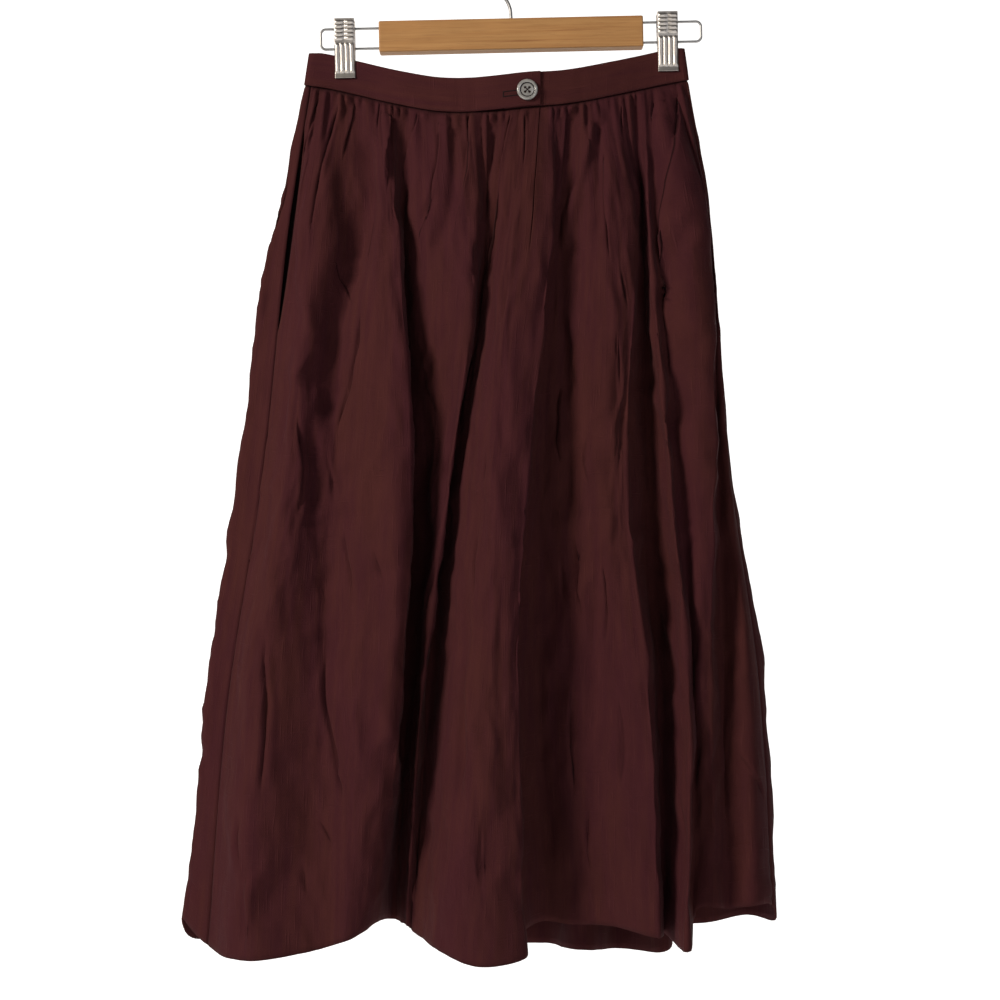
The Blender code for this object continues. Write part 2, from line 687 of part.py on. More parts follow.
def make_hanger(wood, steel, collection, cutters):
    """The wooden bar with its wire loops, and the hook that goes up from it."""
    frame = bpy.data.objects.new("hanger_frame", None)
    collection.objects.link(frame)
    frame.location = (0, 0, BAR_CENTRE_Z)
    frame.rotation_euler = (0, HANGER_TILT, 0)
    bm = bmesh.new()
    bmesh.ops.create_cube(bm, size=1.0)
    bmesh.ops.scale(bm, vec=BAR_SIZE, verts=bm.verts)
    bar = add_object("hanger_bar", mesh_of(bm, "hanger_bar"), wood, collection, frame)
    rounding = bar.modifiers.new("rounding", "BEVEL")
    rounding.width = BAR_ROUNDING
    rounding.segments = 2
    for direction, word in ((-1, "left"), (1, "right")):
        for height in (ROD_SPACING / 2, -ROD_SPACING / 2):
            length = ROD_DEPTH_IN_BAR + SEAM_GAP
            bpy.ops.mesh.primitive_cylinder_add(
                vertices=12,
                radius=ROD_RADIUS + SEAM_GAP,
                depth=length * 2,
                location=(direction * BAR_SIZE[0] / 2, 0, height),
                rotation=(0, math.pi / 2, 0),
            )
            cutter = take_cutter(f"rod_hole_{word}_{height > 0}", cutters)
            cutter.parent = frame
            cut_with(bar, cutter)
        wire(f"hanger_loop_{word}", loop_route(direction), ROD_RADIUS, steel, collection, frame)
    bpy.ops.mesh.primitive_cylinder_add(
        vertices=14,
        radius=HOOK_WIRE_RADIUS + SEAM_GAP,
        depth=(HOOK_DEPTH_IN_BAR + SEAM_GAP) * 2,
        location=(0, 0, BAR_CENTRE_Z + BAR_SIZE[2] / 2),
    )
    cut_with(bar, take_cutter("hook_hole", cutters))
    wire("hanger_hook", hook_route(), HOOK_WIRE_RADIUS, steel, collection)
    return frame


def jaw_profile(top):
    """The jaw's middle line seen from the side: (distance from the hanger's plane, height)."""
    rod = BAR_CENTRE_Z - ROD_SPACING / 2
    bottom = top - CLIP_HEIGHT
    return (
        (CLIP_TOP_HALF_GAP, top),
        (CLIP_TOP_HALF_GAP, top - 0.012),
        (CLIP_ROD_HALF_GAP, rod),
        (CLIP_JAW_HALF_GAP, rod - 0.013),
        (CLIP_JAW_HALF_GAP, bottom + 0.004),
        (CLIP_JAW_HALF_GAP + 0.0008, bottom),
    )


def make_clip(word, x, metal, steel, collection, frame):
    """Two jaws of bent sheet, fluted across, and the spring coil round the lower rod between them."""
    profile = jaw_profile(CLIP_TOP)
    across = CLIP_FLUTES * 2
    for jaw, direction in (("front", -1), ("back", 1)):
        bm = bmesh.new()
        bmesh.ops.create_grid(bm, x_segments=across, y_segments=len(profile) - 1, size=0.5)
        for vertex in bm.verts:
            row = round((vertex.co.y + 0.5) * (len(profile) - 1))
            reach, z = profile[row]
            share = vertex.co.x + 0.5
            fluted = CLIP_FLUTE_DEPTH * (0.5 - 0.5 * math.cos(2 * math.pi * CLIP_FLUTES * share))
            fluted *= 1.0 if 2 <= row <= len(profile) - 2 else 0.0
            vertex.co = Vector((x + vertex.co.x * CLIP_WIDTH, direction * (reach + fluted), z))
            vertex.co.z -= BAR_CENTRE_Z
        bmesh.ops.recalc_face_normals(bm, faces=bm.faces)
        name = f"clip_{word}_{jaw}"
        thicken(add_object(name, mesh_of(bm, name), metal, collection, frame), CLIP_WALL)
    name = f"clip_{word}_spring"
    bm = bmesh.new()
    inner, outer = ROD_RADIUS + SEAM_GAP, SPRING_OUTER_RADIUS
    ring = [(inner, -0.5), (outer, -0.5), (outer, 0.5), (inner, 0.5)]
    verts = [bm.verts.new((share * SPRING_LENGTH, 0, r)) for r, share in ring]
    for a, b in zip(verts, verts[1:] + verts[:1]):
        bm.edges.new((a, b))
    bmesh.ops.spin(
        bm,
        geom=bm.verts[:] + bm.edges[:],
        cent=(0, 0, 0),
        axis=(1, 0, 0),
        angle=2 * math.pi,
        steps=16,
        use_merge=True,
    )
    bmesh.ops.remove_doubles(bm, verts=bm.verts, dist=1e-6)
    bmesh.ops.recalc_face_normals(bm, faces=bm.faces)
    bmesh.ops.translate(bm, vec=(x, 0, -ROD_SPACING / 2), verts=bm.verts)
    add_object(name, mesh_of(bm, name), steel, collection, frame)


def main():
    for obj in list(bpy.data.objects):
        bpy.data.objects.remove(obj, do_unlink=True)
    skirt = bpy.data.collections.new("gathered_skirt")
    cutters = bpy.data.collections.new("cutters")
    for collection in (skirt, cutters):
        bpy.context.scene.collection.children.link(collection)
    materials = {name: make_material(name) for name in COLOURS}

    waist = Waistline()
    drape = Drape(waist)
    make_waistband(waist, materials["linen"], skirt)
    make_panel("skirt_front", "front", FRONT_COLUMNS, drape, materials["linen"], skirt)
    make_panel("skirt_back", "back", BACK_COLUMNS, drape, materials["linen"], skirt)
    make_placket_strip(drape, materials["linen"], skirt)
    for side in ("left", "right"):
        make_pocket_bag(side, drape, materials["lining_linen"], skirt)
    make_button(waist, materials["button"], skirt, cutters)
    frame = make_hanger(materials["wood"], materials["wire"], skirt, cutters)
    for word, x in CLIPS:
        make_clip(word, x, materials["clip_metal"], materials["wire"], skirt, frame)


main()
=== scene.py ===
# %% [markdown]
# # A gathered linen skirt on a clip hanger
# The skirt's plain solids already exist: a front and a back gathered into a waistband, a button, and the
# hanger that holds them. They are loaded first as a fixed frame, and every piece made here rides on them.
# Lengths are metres, +Z is up, and the front of the skirt faces -Y.

import math
import random
from functools import lru_cache

import bmesh
import bpy
import numpy as np
from mathutils import Matrix, Vector, noise


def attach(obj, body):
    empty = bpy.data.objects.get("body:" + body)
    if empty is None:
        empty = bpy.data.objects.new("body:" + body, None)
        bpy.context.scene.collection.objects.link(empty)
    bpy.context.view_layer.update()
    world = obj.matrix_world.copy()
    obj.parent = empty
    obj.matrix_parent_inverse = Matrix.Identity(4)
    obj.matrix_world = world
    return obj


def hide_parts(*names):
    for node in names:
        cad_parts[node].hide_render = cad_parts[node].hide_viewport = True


MM = 0.001
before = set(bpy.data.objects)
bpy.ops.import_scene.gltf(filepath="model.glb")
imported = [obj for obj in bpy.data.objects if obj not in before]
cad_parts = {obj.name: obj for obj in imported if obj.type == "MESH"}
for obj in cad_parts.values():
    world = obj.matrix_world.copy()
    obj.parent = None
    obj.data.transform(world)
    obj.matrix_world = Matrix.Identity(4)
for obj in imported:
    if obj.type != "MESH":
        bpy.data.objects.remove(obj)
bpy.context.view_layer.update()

# %% [markdown]
# ## A few helpers
# The same calls come back for every piece. One function puts an object in the scene, others turn a bmesh
# into a mesh, sweep edges into faces, add a modifier with its settings, and apply modifiers.


# %% Helpers for objects and meshes
def add_object(name, data):
    """A new object in the scene."""
    obj = bpy.data.objects.new(name, data)
    bpy.context.scene.collection.objects.link(obj)
    return obj


def mesh_from(bm, name, smooth_faces=True):
    mesh = bpy.data.meshes.new(name)
    bm.to_mesh(mesh)
    bm.free()
    if smooth_faces:
        mesh.shade_smooth()
    return mesh


def sweep(bm, edges, vec):
    """Draw edges out along a vector, which leaves faces behind them."""
    swept = bmesh.ops.extrude_edge_only(bm, edges=edges)
    moved = [v for v in swept["geom"] if isinstance(v, bmesh.types.BMVert)]
    bmesh.ops.translate(bm, vec=vec, verts=moved)


def add_modifier(obj, name, kind, **settings):
    modifier = obj.modifiers.new(name, kind)
    for key, value in settings.items():
        setattr(modifier, key, value)


def baked(data, cutters=()):
    """The mesh of a curve or mesh, with holes cut by other meshes and all modifiers applied."""
    holder = add_object("holder", data)
    helpers = [add_object("cutter", cutter) for cutter in cutters]
    for helper in helpers:
        add_modifier(holder, "hole", "BOOLEAN", operation="DIFFERENCE", object=helper)
    graph = bpy.context.evaluated_depsgraph_get()
    result = bpy.data.meshes.new_from_object(holder.evaluated_get(graph), depsgraph=graph)
    for obj in [holder] + helpers:
        bpy.data.objects.remove(obj)
    return result


# %% [markdown]
# ## A short way to write shader nodes
# Materials are built from nodes in code. A small wrapper keeps that readable: it adds a node, sets its
# properties and feeds each of its inputs either a number or another node's output.


# %% Helpers for node trees
class Nodes:
    """Adds nodes to one tree and wires their inputs."""

    def __init__(self, tree):
        self.tree = tree

    def feed(self, socket, value):
        if isinstance(value, bpy.types.NodeSocket):
            self.tree.links.new(value, socket)
        else:
            socket.default_value = value

    def feed_all(self, sockets, **values):
        for name, value in values.items():
            self.feed(sockets[name.replace("_", " ")], value)

    def add(self, kind, settings=None, **inputs):
        node = self.tree.nodes.new(kind)
        for name, value in (settings or {}).items():
            setattr(node, name, value)
        self.feed_all(node.inputs, **inputs)
        return node

    def pair(self, kind, operation, a, b):
        """A node that takes two values in order."""
        node = self.add(kind, {"operation": operation})
        self.feed(node.inputs[0], a)
        self.feed(node.inputs[1], b)
        return node.outputs[0]

    def math(self, operation, a, b=0.0):
        return self.pair("ShaderNodeMath", operation, a, b)

    def total(self, base, *terms):
        """The base plus each value times its weight."""
        for value, weight in terms:
            base = self.math("ADD", base, self.math("MULTIPLY", value, weight))
        return base

    def noise(self, place, stretch, detail=2.0, roughness=0.5):
        """Noise that is stretched by giving each axis its own number of blobs per metre."""
        spread = self.pair("ShaderNodeVectorMath", "MULTIPLY", place, stretch)
        look = {"Scale": 1.0, "Detail": detail, "Roughness": roughness}
        return self.add("ShaderNodeTexNoise", None, Vector=spread, **look).outputs["Fac"]

    def ramp(self, value, low, high):
        """0 below low, 1 above high and a soft step between."""
        ends = {"Value": value, "From Min": low, "From Max": high}
        return self.add("ShaderNodeMapRange", {"interpolation_type": "SMOOTHSTEP"}, **ends).outputs[0]

    def blend(self, factor, a, b):
        node = self.add("ShaderNodeMix", {"data_type": "RGBA"}, Factor=factor)
        self.feed(node.inputs[6], a)
        self.feed(node.inputs[7], b)
        return node.outputs[2]

    def brighten(self, colour, factor):
        node = self.add("ShaderNodeVectorMath", {"operation": "SCALE"}, Scale=factor)
        self.feed(node.inputs[0], colour)
        return node.outputs[0]

    def bump(self, height, strength, distance):
        look = {"Height": height, "Strength": strength, "Distance": distance}
        return self.add("ShaderNodeBump", None, **look).outputs["Normal"]

    def attribute(self, name):
        return self.add("ShaderNodeAttribute", {"attribute_name": name}).outputs["Fac"]

    def object_place(self):
        return self.add("ShaderNodeTexCoord").outputs["Object"]


SURFACE = (("Color", "NodeSocketColor"), ("Roughness", "NodeSocketFloat"), ("Height", "NodeSocketFloat"))


def new_group(name, inputs):
    """An empty node group that takes (name, kind, default) sockets and gives a surface's three values."""
    group = bpy.data.node_groups.new(name, "ShaderNodeTree")
    for label, kind, value in inputs:
        socket = group.interface.new_socket(label, in_out="INPUT", socket_type=kind)
        if value is not None:
            socket.default_value = value
    for label, kind in SURFACE:
        group.interface.new_socket(label, in_out="OUTPUT", socket_type=kind)
    nodes = Nodes(group)
    return group, nodes, nodes.add("NodeGroupInput").outputs, nodes.add("NodeGroupOutput").inputs


def new_material(name, **settings):
    """A Principled material with the given socket values, and its tree ready for more nodes."""
    material = bpy.data.materials.new(name)
    material.use_nodes = True
    shader = material.node_tree.nodes["Principled BSDF"]
    nodes = Nodes(material.node_tree)
    nodes.feed_all(shader.inputs, **settings)
    return material, nodes, shader


# %% [markdown]
# ## Camera
# The skirt was photographed level and square on, from a little over a metre away. Half of the picture's
# width covers 445 mm at the hanger, so the lens follows from that and the distance. The same two numbers
# turn any point of the cloth into the place where the photograph shows it, which is how the small creases
# are placed further down.

# %% Camera and the way a point lands in the picture
PICTURE = 1000
CAMERA_DISTANCE = 1.4
HALF_FIELD = 0.445
PICTURE_CENTRE = Vector((-0.0098, 0, -0.489))

camera = add_object("camera", bpy.data.cameras.new("camera"))
camera.location = PICTURE_CENTRE - Vector((0, CAMERA_DISTANCE, 0))
camera.rotation_euler = (math.pi / 2, 0, 0)
camera.data.lens = camera.data.sensor_width / 2 * CAMERA_DISTANCE / HALF_FIELD
bpy.context.scene.camera = camera


def picture_place(points):
    """Across and down in the picture for an array of points, the last axis being X, Y, Z."""
    scale = PICTURE / 2 / HALF_FIELD * CAMERA_DISTANCE / (CAMERA_DISTANCE + points[..., 1])
    across = PICTURE / 2 + (points[..., 0] - PICTURE_CENTRE.x) * scale
    down = PICTURE / 2 - (points[..., 2] - PICTURE_CENTRE.z) * scale
    return across, down


print("camera: lens", round(camera.data.lens, 1), "mm")

# %% [markdown]
# ## Light, floor and backdrop
# Dark cloth needs a soft key light from one side, or its folds vanish. A wide warm light stands in front on
# the left, a weak cool one on the right lifts the shadows, and a pale sheet sweeps from floor to wall. The
# view transform is plain, so that a colour comes out as it was put in.

# %% Light, floor and backdrop
FLOOR_Z, FLOOR_FRONT_Y = -1.55, -3.2
WALL_Y, WALL_TOP_Z = 1.7, 2.2
SWEEP_RADIUS, SWEEP_STEPS = 0.5, 8
BACKDROP_HALF_WIDTH = 3.5
LIGHTS = (
    # name, place, size, watts, colour of each lamp
    ("key", (-1.95, -1.55, 0.6), 0.7, 58.0, (1.0, 0.93, 0.85)),
    ("front", (1.2, -2.3, 0.1), 1.4, 10.0, (0.95, 0.95, 1.0)),
)


def add_light(name, place, size, watts, colour):
    data = bpy.data.lights.new(name, "AREA")
    data.energy = watts
    data.size = size
    data.color = colour
    lamp = add_object(name, data)
    lamp.location = place
    lamp.rotation_euler = (PICTURE_CENTRE - Vector(place)).to_track_quat("-Z", "Y").to_euler()


for row in LIGHTS:
    add_light(*row)

world = bpy.data.worlds.new("studio")
world.use_nodes = True
sky = world.node_tree.nodes["Background"]
Nodes(world.node_tree).feed_all(sky.inputs, Color=(0.94, 0.96, 1.0, 1.0), Strength=0.05)
bpy.context.scene.world = world
bpy.context.scene.view_settings.view_transform = "Standard"


def paper_material():
    """Pale paper that glows a little for the camera, and is clear when seen from behind."""
    look = {"Base_Color": (0.9, 0.9, 0.9, 1), "Roughness": 0.9, "Emission_Color": (1, 1, 1, 1)}
    paper, nodes, shader = new_material("white_paper", **look)
    ray = nodes.add("ShaderNodeLightPath").outputs["Is Diffuse Ray"]
    glow = nodes.add("ShaderNodeMapRange", None, Value=ray, To_Min=0.75, To_Max=0.08)
    nodes.feed(shader.inputs["Emission Strength"], glow.outputs["Result"])
    behind = nodes.add("ShaderNodeNewGeometry").outputs["Backfacing"]
    clear = nodes.add("ShaderNodeBsdfTransparent").outputs["BSDF"]
    either = nodes.add("ShaderNodeMixShader")
    for socket, value in zip(either.inputs, (behind, shader.outputs["BSDF"], clear)):
        nodes.feed(socket, value)
    nodes.feed(nodes.tree.nodes["Material Output"].inputs["Surface"], either.outputs["Shader"])
    return paper


def add_backdrop():
    """A pale floor that turns up into a wall: one edge swept from side to side."""
    profile = [(FLOOR_FRONT_Y, FLOOR_Z), (WALL_Y - SWEEP_RADIUS, FLOOR_Z)]
    for step in range(1, SWEEP_STEPS + 1):
        angle = step / SWEEP_STEPS * math.pi / 2
        back, rise = SWEEP_RADIUS * math.sin(angle), SWEEP_RADIUS * (1 - math.cos(angle))
        profile.append((WALL_Y - SWEEP_RADIUS + back, FLOOR_Z + rise))
    profile.append((WALL_Y, WALL_TOP_Z))
    bm = bmesh.new()
    verts = [bm.verts.new((-BACKDROP_HALF_WIDTH, y, z)) for y, z in profile]
    edges = [bm.edges.new(pair) for pair in zip(verts, verts[1:])]
    sweep(bm, edges, (2 * BACKDROP_HALF_WIDTH, 0, 0))
    mesh = mesh_from(bm, "backdrop")
    mesh.materials.append(paper_material())
    return add_object("backdrop", mesh)


add_backdrop()
print("light:", len(LIGHTS), "lamps and a swept backdrop")

# %% [markdown]
# ## The look of linen
# Linen is a plain weave of uneven flax threads. Close up it shows the over-and-under of the threads. From a
# step away it shows slubs, the thick places in single threads that make short bright lines both ways, and
# a slow drift of the dye between plum and brown. One node group makes all of that from the cloth's own
# coordinates, in metres along and across the threads, so that it follows every fold. Both linens use it.

# %% Linen weave group
THREAD_PITCH = 0.00062
PLUM, BROWN = (0.060, 0.0146, 0.0184, 1), (0.065, 0.0178, 0.0164, 1)
LINEN_RELIEF = 0.00045
# Share of the linen's colour taken away where the 'crease' attribute is 1: painted shade.
CREASE_SHADE = 0.82


def build_linen_group():
    colours = (("Plum", PLUM), ("Brown", BROWN))
    sockets = [("Cloth", "NodeSocketVector", None)] + [(n, "NodeSocketColor", c) for n, c in colours]
    group, nodes, entry, finish = new_group("linen weave", sockets)
    cloth = entry["Cloth"]
    across, down, _ = nodes.add("ShaderNodeSeparateXYZ", None, Vector=cloth).outputs
    turn = math.pi / THREAD_PITCH
    warp, weft = [nodes.math("SINE", nodes.math("MULTIPLY", way, turn)) for way in (across, down)]
    weave = nodes.math("MULTIPLY", warp, weft)
    warp_slub = nodes.ramp(nodes.noise(cloth, (820, 28, 1), detail=1), 0.56, 0.80)
    weft_slub = nodes.ramp(nodes.noise(cloth, (34, 760, 1), detail=1), 0.60, 0.82)
    slubs = nodes.math("MAXIMUM", warp_slub, weft_slub)
    streaks = nodes.noise(cloth, (170, 14, 1), detail=3)
    mottle = nodes.noise(cloth, (46, 24, 1), detail=3, roughness=0.6)
    drift = nodes.noise(cloth, (17, 3.4, 1), detail=2)
    hue = nodes.ramp(nodes.total(0.0, (drift, 0.60), (streaks, 0.40)), 0.34, 0.66)
    colour = nodes.blend(hue, entry["Plum"], entry["Brown"])
    tone = nodes.total(0.70, (streaks, 0.30), (mottle, 0.26), (slubs, 0.16), (weave, 0.06))
    height = nodes.total(0.0, (weave, 0.22), (slubs, 0.75), (streaks, 0.9), (mottle, 1.7))
    rough = nodes.total(0.82, (slubs, -0.12))
    nodes.feed_all(finish, Color=nodes.brighten(colour, tone), Roughness=rough, Height=height)
    return group


linen_group = build_linen_group()


def linen_material(name, plum, brown, bump):
    look = {"Sheen_Weight": 0.03, "Sheen_Roughness": 0.4, "Specular_IOR_Level": 0.06}
    material, nodes, shader = new_material(name, Sheen_Tint=(1.0, 0.72, 0.72, 1), **look)
    uv = nodes.add("ShaderNodeUVMap", {"uv_map": "cloth"}).outputs["UV"]
    weave = nodes.add("ShaderNodeGroup", {"node_tree": linen_group}, Cloth=uv, Plum=plum, Brown=brown).outputs
    # Painted shade: the base colour is darkened by the mesh's 'crease' attribute, which marks the creases'
    # clefts, the gaps between the tucks and the seam under the band.
    lit = nodes.total(1.0, (nodes.attribute("crease"), -CREASE_SHADE))
    nodes.feed_all(
        shader.inputs,
        Base_Color=nodes.brighten(weave["Color"], lit),
        Roughness=weave["Roughness"],
        Normal=nodes.bump(weave["Height"], bump, LINEN_RELIEF),
    )
    return material


linen = linen_material("linen", PLUM, BROWN, 0.9)
# The pocket bags' linen is about eight times darker than the skirt's: painted shade, so the pocket openings
# show as dark slits.
pocket_linen = linen_material("pocket_linen", (0.0070, 0.0022, 0.0024, 1), (0.0090, 0.0030, 0.0028, 1), 0.7)
print("materials: linen and pocket linen")

# %% [markdown]
# ## Wood, wire, clip metal, button and thread
# The bar is pale wood with fine grain along its length and a few darker streaks. The wires and clips are
# bright nickel with the faint scuffs of use. The button is grey shell under a clear polish, with its pressed
# ring painted nearly black as shade, and the thread is the colour of the cloth. A darker thread, used on the
# button and the buttonhole, gives the buttonhole's painted shade. Each reads the object's own coordinates.


# %% Hard materials
HANGER_TILT = math.radians(-1.24)
FINE_RELIEF = 0.0001


def wood_material():
    material, nodes, shader = new_material("bar_wood", Specular_IOR_Level=0.4)
    level = {"Vector": nodes.object_place(), "Rotation": (0, -HANGER_TILT, 0)}
    spot = nodes.add("ShaderNodeMapping", None, **level).outputs[0]
    grain = nodes.noise(spot, (9, 260, 420), detail=4, roughness=0.6)
    pores = nodes.ramp(nodes.noise(spot, (60, 900, 1500), detail=2), 0.56, 0.72)
    streak = nodes.ramp(nodes.noise(spot, (9, 60, 300), detail=3), 0.62, 0.74)
    clouds = nodes.noise(spot, (16, 30, 60), detail=2)
    colour = nodes.blend(nodes.ramp(grain, 0.3, 0.7), (0.50, 0.262, 0.092, 1), (0.43, 0.205, 0.066, 1))
    colour = nodes.blend(nodes.math("MULTIPLY", streak, 0.7), colour, (0.29, 0.115, 0.034, 1))
    colour = nodes.blend(nodes.math("MULTIPLY", pores, 0.35), colour, (0.30, 0.13, 0.045, 1))
    nodes.feed_all(
        shader.inputs,
        Base_Color=nodes.brighten(colour, nodes.total(0.86, (clouds, 0.28))),
        Roughness=nodes.total(0.42, (grain, 0.2)),
        Normal=nodes.bump(nodes.total(grain, (pores, -0.8)), 0.35, 0.0003),
    )
    return material


def build_scuff_group():
    """Fine brushed lines and soft smears, for all bare metal."""
    sockets = [("Place", "NodeSocketVector", None), ("Color", "NodeSocketColor", (0.7, 0.7, 0.7, 1))]
    group, nodes, entry, finish = new_group("metal scuffs", sockets)
    brushed = nodes.noise(entry["Place"], (2200, 2200, 160), detail=2)
    smears = nodes.noise(entry["Place"], (130, 130, 90), detail=3, roughness=0.6)
    nodes.feed_all(
        finish,
        Color=nodes.brighten(entry["Color"], nodes.total(0.84, (smears, 0.28))),
        Roughness=nodes.total(0.32, (smears, 0.22)),
        Height=nodes.total(brushed, (smears, 2.0)),
    )
    return group


scuff_group = build_scuff_group()


def metal_material(name, colour, bump):
    material, nodes, shader = new_material(name, Metallic=1.0)
    look = {"Place": nodes.object_place(), "Color": colour}
    scuffs = nodes.add("ShaderNodeGroup", {"node_tree": scuff_group}, **look).outputs
    normal = nodes.bump(scuffs["Height"], bump, FINE_RELIEF)
    nodes.feed_all(shader.inputs, Base_Color=scuffs["Color"], Roughness=scuffs["Roughness"], Normal=normal)
    return material


def shell_material():
    material, nodes, shader = new_material("button_shell", Coat_Weight=0.6, Coat_Roughness=0.08)
    spot = nodes.object_place()
    layers = nodes.noise(spot, (160, 60, 420), detail=3)
    sheen = nodes.noise(spot, (90, 90, 150), detail=2)
    colour = nodes.blend(nodes.ramp(layers, 0.35, 0.65), (0.30, 0.285, 0.265, 1), (0.44, 0.425, 0.40, 1))
    colour = nodes.blend(nodes.math("MULTIPLY", sheen, 0.4), colour, (0.22, 0.235, 0.21, 1))
    nodes.feed_all(
        shader.inputs,
        # Painted shade: where the attribute that marks the pressed ring is 1, the colour is nearly black.
        Base_Color=nodes.blend(nodes.attribute("groove_shade"), colour, (0.035, 0.03, 0.028, 1)),
        Metallic=nodes.math("MULTIPLY", layers, 0.5),
        Roughness=nodes.total(0.18, (sheen, 0.2)),
    )
    return material


def thread_material(name, dark, light):
    material, nodes, shader = new_material(name, Sheen_Weight=0.1, Specular_IOR_Level=0.1, Roughness=0.7)
    twist = nodes.noise(nodes.object_place(), (2600, 2600, 900), detail=1)
    normal = nodes.bump(twist, 0.5, FINE_RELIEF)
    nodes.feed_all(shader.inputs, Base_Color=nodes.blend(twist, dark, light), Normal=normal)
    return material


wood = wood_material()
wire_metal = metal_material("wire_steel", (0.40, 0.39, 0.38, 1), 0.15)
clip_metal = metal_material("clip_nickel", (0.56, 0.52, 0.48, 1), 0.12)
shell = shell_material()
thread = thread_material("thread", (0.026, 0.007, 0.008, 1), (0.050, 0.014, 0.015, 1))
# Thread about three times darker than the seam thread. On the buttonhole this darkness is painted shade along
# the stitch edges and the slot; the button's thread uses it too.
dark_thread = thread_material("dark_thread", (0.008, 0.003, 0.003, 1), (0.018, 0.006, 0.006, 1))
print("materials: wood, wire, clip metal, shell, thread")

# %% [markdown]
# ## The skirt's main folds
# Folded cloth is easiest to describe by sections. Each row below is one fold line that runs from the
# waistband to the hem, and its numbers say where that line passes at the hip, thigh, knee and hem: across
# and in depth. A smooth curve through all the rows gives the skirt seen from above at that height, and
# curves down the rows join the sections up. The solids of the frame follow the same table.

# %% Fold tables, in millimetres
HIP, THIGH, KNEE, HEM = 0.173, 0.453, 0.72, 1.0
LEVELS = (0.0, HIP, THIGH, KNEE, HEM)
FRONT_FOLDS = (
    # fold, distance along the waistband, (across, depth) at hip, thigh, knee and hem, height of the hem
    ("side seam", 0, (-199, -2), (-221, -4), (-252, -6), (-269, -8), -883),
    ("first roll", 13, (-178, -20), (-194, -30), (-221, -40), (-230, -50), -885),
    ("soft trough", 39, (-140, -11), (-156, -18), (-162, -28), (-164, -38), -877),
    ("second roll", 58, (-113, -27), (-121, -36), (-129, -44), (-139, -46), -867),
    ("deep lip", 70, (-99, -26), (-88, -40), (-94, -42), (-118, -28), -858),
    ("deep floor", 83, (-96, 0), (-95, 16), (-96, 16), (-105, 14), -866),
    ("lobe start", 93, (-82, -18), (-78, 4), (-87, 6), (-99, 6), -866),
    ("lobe", 112, (-58, -28), (-65, -12), (-83, -4), (-96, -2), -865),
    ("knife ridge", 138, (-31, -32), (-54, -28), (-79, -22), (-92, -12), -864),
    ("knife trough", 154, (-24, -14), (-57, 4), (-74, 8), (-87, -12), -868),
    ("centre flank", 178, (-9, -32), (-31, -38), (-45, -46), (-64, -54), -874),
    ("centre crest", 198, (4, -38), (-12, -56), (-18, -64), (-27, -74), -883),
    ("centre edge", 214, (34, -30), (13, -48), (6, -56), (12, -62), -878),
    ("centre under", 220, (32, -16), (9, -26), (1, -28), (6, -32), -867),
    ("recess floor", 229, (43, -8), (26, -4), (22, -2), (27, -2), -863),
    ("recess middle", 241, (65, -18), (52, -14), (50, -10), (52, -10), -864),
    ("recess swell", 256, (90, -26), (88, -26), (83, -22), (84, -18), -863),
    ("thin edge", 273, (108, -20), (99, -24), (119, -32), (127, -34), -869),
    ("slot floor", 284, (118, 0), (122, 2), (133, 4), (134, -2), -871),
    ("finger edge", 297, (122, -22), (138, -32), (154, -38), (151, -44), -878),
    ("finger back", 304, (129, -14), (145, -20), (160, -20), (159, -10), -858),
    ("side swell", 311, (154, -26), (161, -32), (165, -28), (169, -12), -847),
    ("side lip", 317, (173, -16), (177, -28), (173, -26), (181, -14), -848),
    ("side recess", 323, (175, -6), (183, 0), (188, 0), (193, -2), -852),
    ("side flap", 329, (176, -4), (191, -4), (208, -14), (214, -14), -846),
)
BACK_FOLDS = (
    # fold, (across, depth) at hip, thigh, knee and hem, height of the hem
    ("side seam", (178, 2), (194, 4), (221, 2), (234, 4), -850),
    ("left corner", (180, 12), (197, 16), (228, 18), (240, 20), -868),
    ("side roll", (168, 28), (186, 40), (208, 48), (222, 54), -872),
    ("first trough", (150, 22), (160, 34), (172, 38), (180, 38), -875),
    ("first ridge", (132, 38), (138, 58), (146, 68), (152, 76), -888),
    ("under first", (118, 24), (126, 36), (137, 38), (142, 38), -901),
    ("second ridge", (98, 37), (99, 60), (100, 72), (102, 80), -910),
    ("second trough", (78, 23), (76, 36), (72, 38), (68, 38), -900),
    ("centre ridge", (50, 38), (44, 64), (36, 78), (30, 88), -908),
    ("centre edge", (28, 38), (16, 64), (4, 78), (-6, 86), -906),
    ("centre under", (16, 24), (12, 38), (6, 42), (0, 42), -903),
    ("third trough", (-8, 22), (-16, 34), (-24, 36), (-30, 36), -897),
    ("third ridge", (-34, 36), (-44, 58), (-56, 70), (-64, 78), -886),
    ("fourth trough", (-56, 22), (-66, 36), (-76, 38), (-84, 38), -880),
    ("fourth ridge", (-76, 34), (-92, 56), (-106, 70), (-116, 77), -879),
    ("fourth edge", (-98, 36), (-118, 58), (-136, 69), (-150, 75), -883),
    ("under fourth", (-110, 23), (-124, 36), (-138, 39), (-150, 40), -887),
    ("fifth trough", (-134, 22), (-152, 34), (-170, 38), (-184, 40), -890),
    ("fifth ridge", (-160, 34), (-180, 52), (-200, 61), (-216, 66), -892),
    ("last trough", (-184, 24), (-208, 34), (-230, 40), (-250, 44), -890),
    ("right corner", (-207, 14), (-238, 20), (-264, 24), (-291, 24), -884),
    ("outline", (-213, 4), (-244, 7), (-270, 8), (-297, 6), -862),
)

# %% [markdown]
# ## The waistband's line
# The band dips in the middle, because the two clips pull its ends up and its own weight pulls the rest
# down. Its closed line, seen from above with the height of the top edge, is one more short table.

